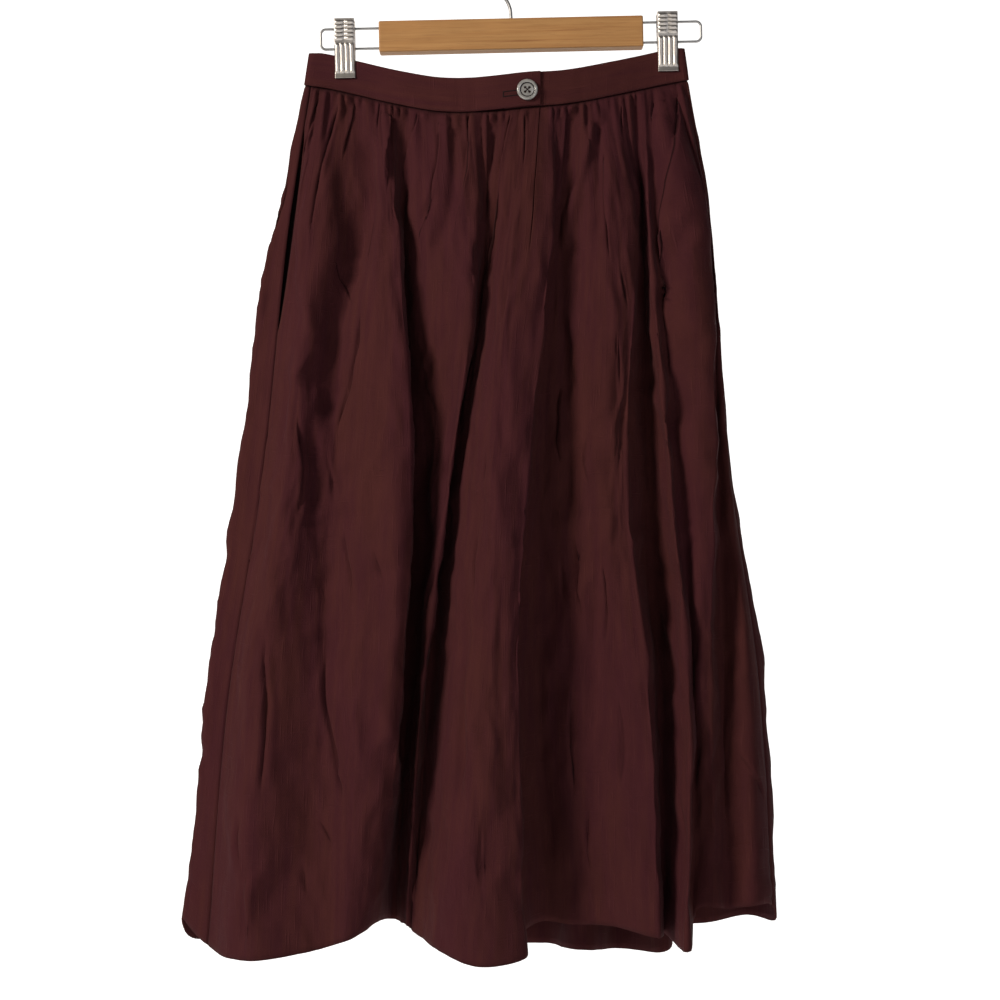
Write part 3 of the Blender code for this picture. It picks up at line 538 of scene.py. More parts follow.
# %% Waistband table and its curve
BAND_HEIGHT = 0.030
BAND_WALL = 0.002
BAND_PLAN = (
    # place, across, depth, top edge, in millimetres
    ("front by the left fold", -178, -2.2, -91),
    ("left clip, outer side", -158, -1.4, -94),
    ("left clip, inner side", -138, -1.4, -98.5),
    ("front left", -97, -6.0, -109),
    ("front low point", -60, -9.5, -115.5),
    ("front centre", -20, -12.5, -115.5),
    ("front button", 14, -13.0, -112),
    ("front right", 48, -11.0, -109),
    ("front far right", 93, -5.5, -99.5),
    ("right clip, inner side", 129, -1.4, -91),
    ("right clip, outer side", 149, -1.4, -87),
    ("front of the right fold", 155.8, -2.0, -85.8),
    ("right fold", 158, 0, -85.5),
    ("back of the right fold", 155.8, 2.0, -85.8),
    ("right clip, back", 149, 1.4, -87),
    ("right clip, back inner side", 129, 1.4, -91),
    ("back right", 90, 8.0, -102),
    ("back middle right", 40, 14.0, -113),
    ("back middle", -20, 16.0, -119),
    ("back left", -80, 11.0, -115.5),
    ("left clip, back inner side", -138, 1.4, -98.5),
    ("left clip, back", -158, 1.4, -94),
    ("back by the left fold", -178, 2.2, -91),
    ("back of the left fold", -181.8, 2.1, -90.2),
    ("left fold", -184, 0, -90),
    ("front of the left fold", -181.8, -2.1, -90.2),
)
BAND_STEP = 0.003
RIGHT_SEAM_X = 0.1550
OVERLAP_END_X, UNDERLAP_END_X = 0.026, -0.006
OVERLAP_LIFT, OVERLAP_LENGTH, OVERLAP_EASE = 0.0024, 0.034, 0.03


def smooth(t):
    """Ease from 0 to 1 as t goes from 0 to 1."""
    t = min(1.0, max(0.0, t))
    return t * t * (3 - 2 * t)


def curve_between(p0, p1, p2, p3, f):
    """The point a share f of the way from p1 to p2 on a centripetal curve through all four."""
    t1 = max((p1 - p0).length, 1e-9) ** 0.5
    t2 = t1 + max((p2 - p1).length, 1e-9) ** 0.5
    t3 = t2 + max((p3 - p2).length, 1e-9) ** 0.5
    t = t1 + (t2 - t1) * f
    a1 = p0 * ((t1 - t) / t1) + p1 * (t / t1)
    a2 = p1 * ((t2 - t) / (t2 - t1)) + p2 * ((t - t1) / (t2 - t1))
    a3 = p2 * ((t3 - t) / (t3 - t2)) + p3 * ((t - t2) / (t3 - t2))
    b1 = a1 * ((t2 - t) / t2) + a2 * (t / t2)
    b2 = a2 * ((t3 - t) / (t3 - t1)) + a3 * ((t - t1) / (t3 - t1))
    return b1 * ((t2 - t) / (t2 - t1)) + b2 * ((t - t1) / (t2 - t1))


def on_ring(points, k, f):
    """A point on the closed curve through the points, a share f of the way past point k."""
    n = len(points)
    return curve_between(points[k - 1], points[k], points[(k + 1) % n], points[(k + 2) % n], f)


class Waistline:
    """The waistband's line as a closed curve: its points, and how far along it each one is."""

    def __init__(self):
        rows = [Vector(row[1:]) * MM for row in BAND_PLAN]
        self.points = []
        for k, row in enumerate(rows):
            steps = max(4, round((rows[(k + 1) % len(rows)] - row).length / BAND_STEP))
            self.points += [on_ring(rows, k, i / steps) for i in range(steps)]
        self.points.append(self.points[0])
        self.along = [0.0]
        for a, b in zip(self.points, self.points[1:]):
            self.along.append(self.along[-1] + (b - a).xy.length)
        self.length = self.along[-1]

    def at(self, distance):
        """(across, depth, top edge) at a distance round the band from the first row."""
        distance %= self.length
        k = max(0, int(np.searchsorted(self.along, distance, side="right")) - 1)
        share = (distance - self.along[k]) / (self.along[k + 1] - self.along[k])
        return self.points[k].lerp(self.points[k + 1], share)

    def front_distance(self, x):
        """How far along the front the band reaches a given X."""
        for a, b, start in zip(self.points, self.points[1:], self.along):
            if a.x <= x <= b.x:
                return start + (b - a).xy.length * (x - a.x) / (b.x - a.x)
        raise ValueError("that X is beyond the front of the band")


def overlap_lift(t):
    """How far the band stands forward at a distance from its overlapping end."""
    return OVERLAP_LIFT * (1 - smooth((t - OVERLAP_LENGTH) / OVERLAP_EASE))


waist = Waistline()
print("waistband:", round(waist.length * 1000), "mm round")

# %% [markdown]
# ## From cloth to space
# The next class is the heart of the lesson. A point of flat cloth is named by two shares: how far across
# its panel it lies, and how far down. The class works out where that point hangs. It joins the sections,
# adds the tucks that the gathering thread draws in under the band, and parts the edges at the pockets.

# %% The hanging cloth as a function
SEAM_GAP = 0.0003
GATHER_COUNT = {"front": 44, "back": 38}
GATHER_RISE = 0.007
GATHER_STEEPNESS = 0.52
GATHER_CALM = {"front": (0.02, 0.03), "back": (0.05, 0.09)}
GATHER_SEED = 5
TUCK_SIZES, TUCK_LENGTHS = (0.4, 1.5), (0.012, 0.15)
SLIT_FLAT, SLIT_CHOICES = 0.022, 72
POCKET_TOP, POCKET_END = 0.05, 0.285
POCKET_PARTING = {"left": 0.0070, "right": 0.0040}
POCKET_REACH = 0.035
TUCK_UNEVENNESS, TUCK_ROUNDNESS = 0.9, 0.7


class Drape:
    """The skirt as a surface: (side, share across, share down) to a point in space."""

    def __init__(self, waist):
        self.waist = waist
        front = [row[2:6] for row in FRONT_FOLDS]
        back = [row[1:5] for row in BACK_FOLDS]
        hem_heights = [row[6] for row in FRONT_FOLDS] + [row[5] for row in BACK_FOLDS]
        self.rings = [
            [Vector((*row[level], height)) * MM for row, height in zip(front + back, hem_heights)]
            for level in range(4)
        ]
        self.first = {"front": 0, "back": len(front)}
        self.count = {"front": len(front), "back": len(back)}
        self.width, self.marks = {}, {}
        for side in self.first:
            self.width[side], self.marks[side] = self.cloth_marks(side)
        right_seam = waist.front_distance(RIGHT_SEAM_X)
        rest = waist.length - right_seam
        band_marks = [row[1] * MM for row in FRONT_FOLDS] + [right_seam]
        self.band = {"front": band_marks, "back": [right_seam + rest * m for m in self.marks["back"]]}
        self.marks["front"] = [
            (cloth + mark / right_seam) / 2 for cloth, mark in zip(self.marks["front"], band_marks)
        ]
        self.length = (waist.at(0.0).z - BAND_HEIGHT) - self.rings[3][0].z
        shaker = random.Random(GATHER_SEED)
        self.tucks = {side: self.shaken(shaker, count + 2) for side, count in GATHER_COUNT.items()}

    def shaken(self, shaker, count):
        """A size and a length for each tuck, most of them short."""
        least, more = TUCK_LENGTHS
        return [(shaker.uniform(*TUCK_SIZES), least + more * shaker.random() ** 4) for _ in range(count)]

    def cloth_marks(self, side):
        """The cloth's width, and how far across it each fold lies, as a share of the panel."""
        marks = [0.0]
        for i in range(self.count[side]):
            k = self.first[side] + i
            widths = [(ring[(k + 1) % len(ring)] - ring[k]).xy.length for ring in self.rings[1:]]
            marks.append(marks[-1] + sum(widths) / len(widths))
        return marks[-1], [m / marks[-1] for m in marks]

    def locate(self, side, u):
        """The fold before a share u of the cloth's width, and the share of the way to the next."""
        marks = self.marks[side]
        i = min(self.count[side] - 1, max(0, int(np.searchsorted(marks, u, side="right")) - 1))
        return i, (u - marks[i]) / (marks[i + 1] - marks[i])

    @lru_cache(maxsize=None)
    def band_distance(self, side, u):
        i, f = self.locate(side, u)
        start, end = self.band[side][i], self.band[side][i + 1]
        return start + (end - start) * f

    @lru_cache(maxsize=None)
    def column(self, side, u):
        """One thread down the cloth: its five plan points, and its top and hem heights."""
        i, f = self.locate(side, u)
        k = self.first[side] + i
        top = self.waist.at(self.band_distance(side, u))
        lower = [on_ring(ring, k, f) for ring in self.rings]
        return [top.xy] + [p.xy for p in lower], top.z - BAND_HEIGHT - SEAM_GAP, lower[3].z

    def slit_share(self):
        """The column of the front that comes down from the end of the band's overlap."""
        target = self.waist.front_distance(OVERLAP_END_X)
        shares = [c / SLIT_CHOICES for c in range(SLIT_CHOICES + 1)]
        return min(shares, key=lambda u: abs(self.band_distance("front", min(u, 0.9999)) - target))

    def tuck_at(self, side, u):
        """Which tuck a share lies in, and how near its top: 1 there and 0 in the gaps beside it."""
        count = GATHER_COUNT[side]
        number = u * count + TUCK_UNEVENNESS * noise.noise(Vector((u * count * 0.7, 3.3, 0.0))) + 0.5
        tuck = max(0, min(int(number), count + 1))
        return tuck, abs(math.sin(math.pi * (number - tuck))) ** TUCK_ROUNDNESS

    # How open the gap beside a tuck is; it sets the painted shade there.
    def gap_between_tucks(self, side, u):
        tuck, wave = self.tuck_at(side, u)
        return min(1.0, self.tucks[side][tuck][0]) * (1 - wave) ** 2 * self.off_slit(side, u)

    def off_slit(self, side, u):
        """0 beside the front's slit, where the cloth lies flat, and 1 away from it."""
        return smooth(abs(u - SLIT_SHARE) / SLIT_FLAT - 0.3) if side == "front" else 1.0

    def gather(self, side, u, v):
        """How far a tuck stands out: round on top and sharp between, gone where its length ends."""
        tuck, wave = self.tuck_at(side, u)
        size, length = self.tucks[side][tuck]
        pitch = (self.band[side][-1] - self.band[side][0]) / GATHER_COUNT[side]
        grow = smooth(v / GATHER_RISE) if v > 0 else 0.0
        fade = 1 - smooth((v - GATHER_RISE) / length)
        first_calm, last_calm = GATHER_CALM[side]
        calm = smooth(u / first_calm) * smooth((1 - u) / last_calm) * self.off_slit(side, u)
        return GATHER_STEEPNESS * pitch * size * wave * grow * fade * calm

    def parting(self, side, u, v):
        """The front's edges stand off the back's along the pocket openings."""
        reach = (v - POCKET_TOP) / (POCKET_END - POCKET_TOP)
        if side == "back" or not 0 < reach < 1:
            return Vector((0, 0))
        lens = math.sin(math.pi * reach) ** 0.6
        left = POCKET_PARTING["left"] * smooth(1 - u / POCKET_REACH)
        right = POCKET_PARTING["right"] * smooth(1 - (1 - u) / POCKET_REACH)
        return Vector((0.8 * left - 0.4 * right, -left - right)) * lens

    def point(self, side, u, v):
        plan, top, hem = self.column(side, u)
        down = max(v, 0.0)
        i = max(j for j in range(4) if LEVELS[j] <= down)
        span = LEVELS[i + 1] - LEVELS[i]
        t = (down - LEVELS[i]) / span
        slopes = []
        for j in (i, i + 1):
            before, after = max(j - 1, 0), min(j + 1, 4)
            slopes.append((plan[after] - plan[before]) / (LEVELS[after] - LEVELS[before]) * span)
        place = (
            plan[i] * (2 * t**3 - 3 * t**2 + 1)
            + slopes[0] * (t**3 - 2 * t**2 + t)
            + plan[i + 1] * (3 * t**2 - 2 * t**3)
            + slopes[1] * (t**3 - t**2)
        )
        out = -1 if side == "front" else 1
        place = place + self.parting(side, u, v) + Vector((0, out * self.gather(side, u, v)))
        return Vector((place.x, place.y, top + (hem - top) * v))


drape = Drape(waist)
SLIT_SHARE = drape.slit_share() - 0.006
print("cloth:", {side: round(width * 1000) for side, width in drape.width.items()}, "mm wide")

# %% [markdown]
# ## Small creases, drawn where they show
# Worn and stored linen keeps creases: crisp lines that run down from the gathers, soft dents, sharp crests
# on the pressed folds, and one line straight across where the skirt was folded over in a drawer. Each row
# is one of them, drawn as a few points in the picture's frame, with its half width and its depth in
# millimetres. A positive depth is a ridge. The lines are laid on the nearest layer of cloth, so they sit in
# the surface and turn with it.

# %% Crease table
SHARP, SOFT, LAP = "sharp", "soft", "lap"
CREASES = (
    # profile, half width, depth, points across and down in the picture
    # pleats and hollows of the left hip
    (SHARP, 2.6, -3.4, ((319, 97), (312, 122), (305, 146), (300, 171), (298, 190))),
    (SHARP, 2.8, -3.8, ((339, 103), (333, 126), (321, 167), (315, 199), (310, 234))),
    (LAP, 2.6, -2.0, ((355, 101), (352, 122), (346, 139), (342, 162))),
    (SHARP, 2.0, -2.2, ((380, 103), (378, 118), (377, 133))),
    (LAP, 4.5, -5.0, ((391, 112), (388, 150), (386, 176), (386, 200))),
    (SOFT, 13, -9.0, ((366, 130), (367, 200), (352, 262), (338, 320), (330, 380), (332, 436))),
    (SOFT, 12, 4.0, ((330, 150), (328, 230), (312, 290), (300, 360), (292, 400))),
    (LAP, 3.0, -2.2, ((328, 256), (338, 276), (348, 294), (359, 308))),
    (SHARP, 2.6, -3.0, ((361, 306), (358, 341), (351, 382), (340, 410), (337, 440))),
    (SHARP, 2.2, -2.6, ((368, 215), (366, 240), (365, 262))),
    # lines that fan out to the left of the slit
    (LAP, 2.6, 2.0, ((418, 110), (413, 131), (406, 156), (403, 173))),
    (LAP, 2.8, 2.6, ((438, 119), (438, 149), (432, 189), (423, 221), (415, 250))),
    (SHARP, 2.0, -2.2, ((452, 116), (451, 128), (450, 142))),
    (SOFT, 7.0, -4.0, ((456, 126), (455, 180), (447, 222), (433, 262))),
    (LAP, 3.0, 3.2, ((470, 113), (468, 160), (462, 189), (455, 219), (450, 236))),
    (SOFT, 7.0, -3.4, ((494, 130), (488, 180), (480, 240), (468, 300))),
    (LAP, 3.0, 2.8, ((511, 113), (500, 167), (496, 212), (488, 262), (478, 330))),
    (SHARP, 3.0, -3.4, ((479, 328), (476, 351), (472, 375), (469, 404))),
    # beside the slit, and the gathers on the right
    (SHARP, 2.2, -3.0, ((525, 113), (525, 142), (523, 170))),
    (LAP, 3.4, -3.2, ((566, 108), (564, 143), (558, 189), (556, 215))),
    (SOFT, 6.0, 4.0, ((592, 120), (590, 139), (575, 200), (562, 256))),
    (SOFT, 8.0, -5.0, ((600, 118), (598, 190), (598, 249))),
    (LAP, 4.0, 3.0, ((606, 150), (606, 190), (606, 223), (610, 264))),
    (SHARP, 2.6, -2.6, ((620, 262), (622, 278), (631, 314))),
    (SHARP, 2.6, -2.4, ((616, 330), (617, 348), (616, 368))),
    (SHARP, 2.2, -2.8, ((622, 104), (621, 120), (622, 140))),
    (SHARP, 2.0, -2.4, ((655, 100), (652, 112), (651, 126))),
    # right hip and pocket
    (LAP, 4.5, 3.4, ((679, 94), (675, 141), (669, 168), (663, 206), (656, 266))),
    (SOFT, 8.0, 4.0, ((657, 110), (660, 180), (662, 240), (664, 290), (668, 345), (676, 390))),
    (LAP, 4.0, 2.8, ((700, 226), (690, 240), (677, 261), (666, 282))),
    (LAP, 3.2, -2.2, ((692, 194), (682, 223), (673, 251), (665, 274))),
    (SOFT, 5.0, -2.6, ((698, 206), (686, 230), (673, 258), (662, 282))),
    (SHARP, 2.2, -2.0, ((689, 276), (694, 290), (700, 301))),
    (SOFT, 6.0, -3.0, ((690, 320), (694, 370), (690, 430))),
    # left side, thigh and knee
    (LAP, 3.0, 2.6, ((268, 345), (269, 435), (262, 484), (253, 514), (249, 565))),
    (LAP, 3.4, -3.0, ((297, 412), (298, 431), (300, 455), (301, 480), (298, 512))),
    (SOFT, 9.0, -4.5, ((314, 424), (316, 470), (318, 520))),
    (SHARP, 2.8, -3.4, ((323, 443), (331, 473), (336, 498), (337, 518))),
    (SHARP, 3.0, -3.2, ((341, 524), (345, 545), (349, 570), (353, 597))),
    (SHARP, 2.6, -2.6, ((374, 550), (378, 566), (383, 584))),
    (SHARP, 3.0, -3.2, ((311, 574), (320, 588), (329, 600), (336, 620))),
    (SOFT, 8.0, -3.6, ((322, 560), (327, 620), (328, 680))),
    (SHARP, 3.0, -4.0, ((326, 652), (323, 696), (333, 742), (338, 775), (342, 809))),
    (SHARP, 3.4, -3.8, ((264, 630), (263, 666), (267, 689), (265, 746), (259, 798))),
    # left hem
    (SHARP, 4.0, -3.6, ((243, 812), (238, 830), (237, 848), (243, 870))),
    (LAP, 4.5, 3.4, ((248, 868), (246, 900), (244, 930), (243, 958))),
    (SHARP, 2.8, -2.4, ((205, 778), (212, 805), (221, 834))),
    (LAP, 2.8, -2.2, ((311, 819), (319, 826), (327, 833), (338, 846))),
    (SHARP, 2.6, -2.8, ((315, 836), (318, 846), (322, 858))),
    (SHARP, 2.6, -2.8, ((303, 868), (305, 882), (308, 898))),
    # beside the deep valley, and the centre crest
    (SOFT, 9.0, 5.0, ((388, 450), (396, 520), (398, 600), (392, 700), (384, 760))),
    (SOFT, 2.8, 1.4, ((358, 468), (380, 463), (404, 456))),
    (SOFT, 2.8, 1.3, ((368, 486), (384, 480), (404, 476))),
    (LAP, 3.0, 2.4, ((421, 362), (430, 385), (441, 416))),
    (SHARP, 2.4, -2.6, ((485, 450), (486, 466), (484, 486))),
    (SHARP, 2.4, -2.4, ((468, 480), (469, 488), (471, 498))),
    (LAP, 2.6, 2.0, ((473, 400), (470, 430), (466, 462), (460, 500))),
    (SHARP, 2.8, -2.2, ((478, 520), (474, 560), (472, 600))),
    (SOFT, 6.0, -3.0, ((470, 560), (464, 650), (462, 740), (459, 810))),
    (SOFT, 6.0, -2.0, ((505, 560), (500, 660), (503, 780))),
    (SHARP, 2.8, -2.0, ((482, 820), (478, 860), (482, 896))),
    # the recess on the right of the centre
    (SHARP, 2.8, -3.0, ((618, 330), (619, 357), (621, 389))),
    (SHARP, 2.8, -3.0, ((606, 432), (614, 443), (621, 455), (625, 474))),
    (LAP, 5.0, 3.4, ((588, 432), (587, 450), (588, 470), (590, 490))),
    (SHARP, 3.0, -3.0, ((566, 345), (574, 372), (583, 402))),
    (LAP, 3.4, 2.6, ((560, 380), (557, 420), (560, 470))),
    (LAP, 4.0, 3.0, ((574, 528), (576, 548), (577, 570), (582, 620))),
    (SHARP, 3.0, -3.0, ((562, 552), (561, 580), (563, 610))),
    (SHARP, 3.2, -3.0, ((604, 560), (608, 600), (604, 650))),
    (SOFT, 7.0, -5.0, ((560, 300), (566, 360), (570, 440), (566, 520))),
    (SOFT, 7.0, -5.0, ((600, 530), (596, 600), (590, 680), (598, 740))),
    (LAP, 3.6, -2.4, ((572, 680), (569, 740), (575, 800))),
    (SHARP, 3.0, -2.6, ((618, 690), (622, 740), (620, 790))),
    (SHARP, 3.0, -2.4, ((590, 800), (587, 840), (592, 880))),
    # right flap and hem
    (SHARP, 2.8, -2.4, ((682, 790), (680, 818), (686, 838))),
    (LAP, 3.0, 2.2, ((734, 749), (746, 760), (760, 786), (771, 816))),
    (SHARP, 2.8, -2.8, ((746, 744), (747, 770), (745, 794))),
    (SOFT, 7.0, 3.0, ((741, 625), (735, 672), (733, 743), (735, 846))),
    (LAP, 3.0, -2.6, ((772, 864), (770, 895), (768, 924))),
    # the level line from the drawer
    (SOFT, 3.4, -1.6, ((240, 540), (268, 535), (302, 526), (327, 521), (403, 505))),
    (SOFT, 3.4, -1.6, ((462, 500), (480, 501), (502, 506), (539, 514))),
    (SOFT, 3.4, -2.0, ((545, 514), (575, 513), (600, 514), (620, 500))),
    (SOFT, 3.4, -2.0, ((677, 520), (690, 523), (714, 526))),
)

# %% [markdown]
# ## The same for the back
# The photo shows nothing of the back, so its creases are guessed from the front's: pleat lines that fan out
# from the gathers, a few bent lines at the height of the thigh and knee, soft hollows between them, and the
# same drawer line. They are drawn in the same frame, as if the front were see-through.

# %% Crease table of the back
BACK_CREASES = (
    # pleats
    (SHARP, 2.6, -3.2, ((330, 100), (323, 140), (315, 190), (309, 236))),
    (LAP, 2.8, 2.6, ((362, 108), (357, 150), (347, 205))),
    (SHARP, 2.4, -2.8, ((402, 112), (398, 150), (395, 186))),
    (LAP, 3.0, -3.0, ((436, 116), (432, 170), (424, 232), (412, 290))),
    (SHARP, 2.6, -3.0, ((478, 116), (476, 160), (472, 210), (466, 262))),
    (LAP, 3.0, 2.6, ((519, 114), (518, 165), (522, 228))),
    (SHARP, 2.4, -2.6, ((557, 110), (561, 150), (566, 196))),
    (LAP, 3.0, 3.0, ((596, 106), (603, 160), (612, 224), (618, 276))),
    (SHARP, 2.6, -3.0, ((640, 100), (646, 150), (656, 200))),
    (SHARP, 2.2, -2.4, ((668, 98), (675, 130), (683, 168))),
    # hollows
    (SOFT, 13, -6.0, ((352, 180), (342, 270), (330, 370), (322, 440))),
    (SOFT, 12, -5.0, ((455, 200), (448, 300), (436, 420))),
    (SOFT, 12, -5.0, ((576, 200), (584, 320), (590, 440))),
    (SOFT, 13, -5.0, ((650, 260), (664, 380), (676, 500))),
    # thigh
    (SHARP, 3.0, -3.4, ((298, 420), (305, 462), (301, 506))),
    (LAP, 3.2, 2.6, ((372, 402), (381, 446), (378, 500))),
    (SHARP, 2.8, -3.0, ((503, 392), (498, 430), (503, 474))),
    (LAP, 3.4, -2.8, ((562, 380), (570, 432), (566, 486))),
    (SHARP, 3.0, -3.2, ((640, 420), (648, 466), (645, 520))),
    # knee
    (SHARP, 3.2, -3.6, ((275, 600), (281, 660), (276, 726))),
    (LAP, 3.2, 2.8, ((350, 580), (343, 640), (348, 700), (342, 752))),
    (SHARP, 3.0, -3.2, ((432, 600), (438, 650), (433, 704))),
    (SHARP, 3.0, -3.4, ((545, 570), (540, 626), (546, 690))),
    (LAP, 3.4, 2.6, ((618, 600), (627, 662), (624, 730))),
    (SHARP, 3.0, -3.2, ((700, 560), (708, 620), (704, 684))),
    # hem and drawer line
    (SHARP, 3.0, -2.8, ((245, 820), (241, 858), (246, 900))),
    (LAP, 3.0, 2.4, ((402, 800), (408, 850), (404, 900))),
    (SHARP, 3.0, -2.8, ((590, 800), (585, 846), (590, 890))),
    (SOFT, 3.4, -1.8, ((250, 508), (380, 503), (520, 508), (640, 505), (730, 510))),
)

# %% [markdown]
# ## Pressed crests
# Some folds, six in front and three behind, have a pressed edge that catches the light as a thin line. A
# fold made of smooth curves is too round there, so its crest is raised to a point along its own thread.

# %% Crest table
CREST_FADE = 0.1
CRESTS = (
    # side, fold, height and half width in millimetres, from and to as shares of the way down
    ("front", "knife ridge", 2.6, 4.0, 0.24, 1.0),
    ("front", "thin edge", 3.0, 4.0, 0.20, 1.1),
    ("front", "finger edge", 3.2, 4.5, 0.02, 1.1),
    ("front", "centre edge", 1.2, 4.0, 0.05, 0.9),
    ("front", "deep lip", 1.4, 4.0, 0.10, 0.9),
    ("front", "side lip", 2.0, 4.0, 0.30, 0.95),
    ("back", "centre edge", 2.4, 4.0, 0.15, 1.1),
    ("back", "fourth edge", 2.6, 4.0, 0.20, 1.1),
    ("back", "first ridge", 2.2, 4.0, 0.30, 1.1),
)

# %% [markdown]
# ## Laying creases on the cloth
# The panel is a grid of threads. Each line above is traced first: in every row of a fine table of hung
# cloth, the place where the drawn line crosses the nearest layer. Then the grid's columns are slid, as if
# neighbouring columns were joined by springs, until one column and its two neighbours run along each line.
# That gives a cleft two millimetres wide on a mesh whose columns are further apart than that. Where no
# column is free for a line, only its soft dip or ridge is made.

# %% Sheet of cloth as a grid
CLEFT, CLEFT_DEPTH = 0.0011, 0.0013
TABLE_STEP = 0.0014
INSIDE_BAND = -0.004
FINE_ROWS, FINE_ROWS_END = 0.28, 0.11
PULL, SLIT_PULL, FIRM_PULL, EASED_PULL = 300.0, 1e6, 10, 3
EASE, EASE_END = 0.012, 0.072
LEAST_APART = 3
FIRM_SPREAD, EASED_SPREAD = (0.3, 3.6), 0.15
SAME_LAYER = 12
TAPER, TAPER_AT_BAND, NEAR_BAND = 0.022, 0.25, 0.03


class ClothGrid:
    """The panel's points as rows and columns, with the place of each in the flat cloth."""

    def __init__(self, side, column_step, row_step):
        self.side = side
        self.width, self.length = drape.width[side], drape.length
        self.v = np.array(self.row_shares(row_step))
        self.table_u = np.linspace(0, 1, round(self.width / TABLE_STEP) + 1)
        shares = [round(float(u), 7) for u in self.table_u]
        self.table = np.array([[drape.point(side, u, float(v)) for u in shares] for v in self.v])
        self.columns = round(self.width / column_step) + 1
        self.tracks = []
        self.slide_columns()
        # Painted shade for each point, from 0 to 1, that darkens the linen's colour.
        self.shade = np.zeros_like(self.across)

    def row_shares(self, step):
        """Rows that are close together at the gathers and further apart below, one inside the band."""
        rows, v = [INSIDE_BAND, 0.0], 0.0
        while v < 1:
            v += (FINE_ROWS + (1 - FINE_ROWS) * smooth(v / FINE_ROWS_END)) * step / self.length
            rows.append(v)
        last = rows[-1]
        return rows[:1] + [row / last for row in rows[1:]]

    def add_track(self, shares, pull=PULL):
        """Give a traced line a column of its own where it fits between the others; its number or None."""
        on = np.nonzero(~np.isnan(shares))[0]
        held = [np.interp(shares[r], self.across[r], np.arange(self.columns)) for r in on]
        middle = round(float(np.median(held)))
        carried, strength = shares.copy(), np.where(np.isnan(shares), 0.0, pull)
        for end, beyond in ((on[0], slice(0, on[0])), (on[-1], slice(on[-1] + 1, None))):
            away = np.abs(self.v[beyond] - self.v[end]) * self.length
            carried[beyond] = np.where(away < EASE_END, shares[end], np.nan)
            strength[beyond] = np.where(away < EASE_END, EASED_PULL * np.exp(-away / EASE), 0)
        for step in (0, 1, -1, 2, -2, 3, -3, 4, -4, 5, -5):
            column = middle + step
            track = (column, carried, strength)
            inside = LEAST_APART <= column < self.columns - LEAST_APART
            if inside and all(self.fits(track, placed) for placed in self.tracks):
                self.tracks.append(track)
                self.slide_columns()
                return column
        return None

    def fits(self, track, placed):
        """Whether two lines keep their order, and a fair distance where both are firm."""
        (column, shares, strength), (other, others, strengths) = track, placed
        both = ~np.isnan(shares) & ~np.isnan(others)
        if not both.any():
            return True
        if abs(column - other) < LEAST_APART:
            return False
        spread = (shares - others) * (self.columns - 1) / (column - other)
        firm = spread[both & (strength > FIRM_PULL) & (strengths > FIRM_PULL)]
        least, most = FIRM_SPREAD
        apart = not firm.size or (firm.min() > least and firm.max() < most)
        return apart and spread[both].min() > EASED_SPREAD

    def slide_columns(self):
        """Springs join neighbouring columns; each track pulls three of them onto its line."""
        n = self.columns
        held, pull = np.full((len(self.v), n), 2.0), np.zeros((len(self.v), n))
        for column, shares, strength in self.tracks:
            on = strength > 0
            for step in (-1, 0, 1):
                held[on, column + step] += strength[on]
                pull[on, column + step] += strength[on] * (shares[on] + step * CLEFT / self.width)
        ratio, rest = np.zeros_like(held), np.zeros_like(held)
        for j in range(1, n - 1):
            ratio[:, j] = 1 / (held[:, j] - ratio[:, j - 1])
            rest[:, j] = (pull[:, j] + rest[:, j - 1]) * ratio[:, j]
        self.across = np.zeros_like(held)
        self.across[:, -1] = 1.0
        for j in range(n - 2, 0, -1):
            self.across[:, j] = rest[:, j] + ratio[:, j] * self.across[:, j + 1]

    def read_places(self):
        """Points of space for the slid columns, read off the fine table."""
        self.places = np.empty((len(self.v), self.columns, 3))
        for r in range(len(self.v)):
            for axis in range(3):
                self.places[r, :, axis] = np.interp(self.across[r], self.table_u, self.table[r, :, axis])

    def push(self, amounts):
        """Move every point along the cloth's outward direction."""
        right = np.gradient(self.places, axis=1)
        down = np.gradient(self.places, axis=0)
        normal = np.cross(down, right)
        normal /= np.maximum(np.linalg.norm(normal, axis=2, keepdims=True), 1e-12)
        self.places = self.places + normal * amounts[..., None]


def crossings(line, across, down, depth):
    """For each row of the picture places, the column where the line crosses the nearest cloth."""
    points = sorted(line, key=lambda p: p[1])
    xs, ys = [p[0] for p in points], [p[1] for p in points]
    found, last = np.full(len(across), np.nan), None
    for r in range(len(across)):
        inside = (down[r] >= ys[0]) & (down[r] <= ys[-1])
        gap = across[r] - np.interp(down[r], ys, xs)
        hits = np.nonzero(inside[:-1] & inside[1:] & (gap[:-1] * gap[1:] <= 0))[0]
        if not len(hits):
            continue
        near = hits[np.argmin(depth[r][hits])]
        if last is not None and np.abs(hits - last).min() < SAME_LAYER:
            near = hits[np.argmin(np.abs(hits - last))]
        last = near
        found[r] = near + gap[near] / (gap[near] - gap[near + 1] + 1e-12)
    return found


def tapered(found, places):
    """1 along a line's middle, falling to nothing at its ends, quickly where it starts at the band."""
    valid = np.nonzero(~np.isnan(found))[0]
    start, end = places[valid[0]], places[valid[-1]]
    reach = min(0.45 * (end - start), TAPER) + 1e-6
    first_reach = reach * (TAPER_AT_BAND if start < NEAR_BAND else 1)
    ends = np.clip(np.minimum((places - start) / first_reach, (end - places) / reach), 0, 1)
    return np.where(np.isnan(found), 0, ends**2 * (3 - 2 * ends))


def steady(found, span=7):
    """The same line with its small jumps evened out."""
    on = np.nonzero(~np.isnan(found))[0]
    padded = np.pad(found[on], span // 2, mode="edge")
    found[on] = np.convolve(padded, np.ones(span) / span, mode="valid")
    return found


# %% Laying a table of creases
# How the painted shade along the clefts weakens down the skirt: by this share, from and over these shares of
# the length.
SHADE_LOSS, SHADE_LOSS_FROM, SHADE_LOSS_SPAN = 0.7, 0.2, 0.15


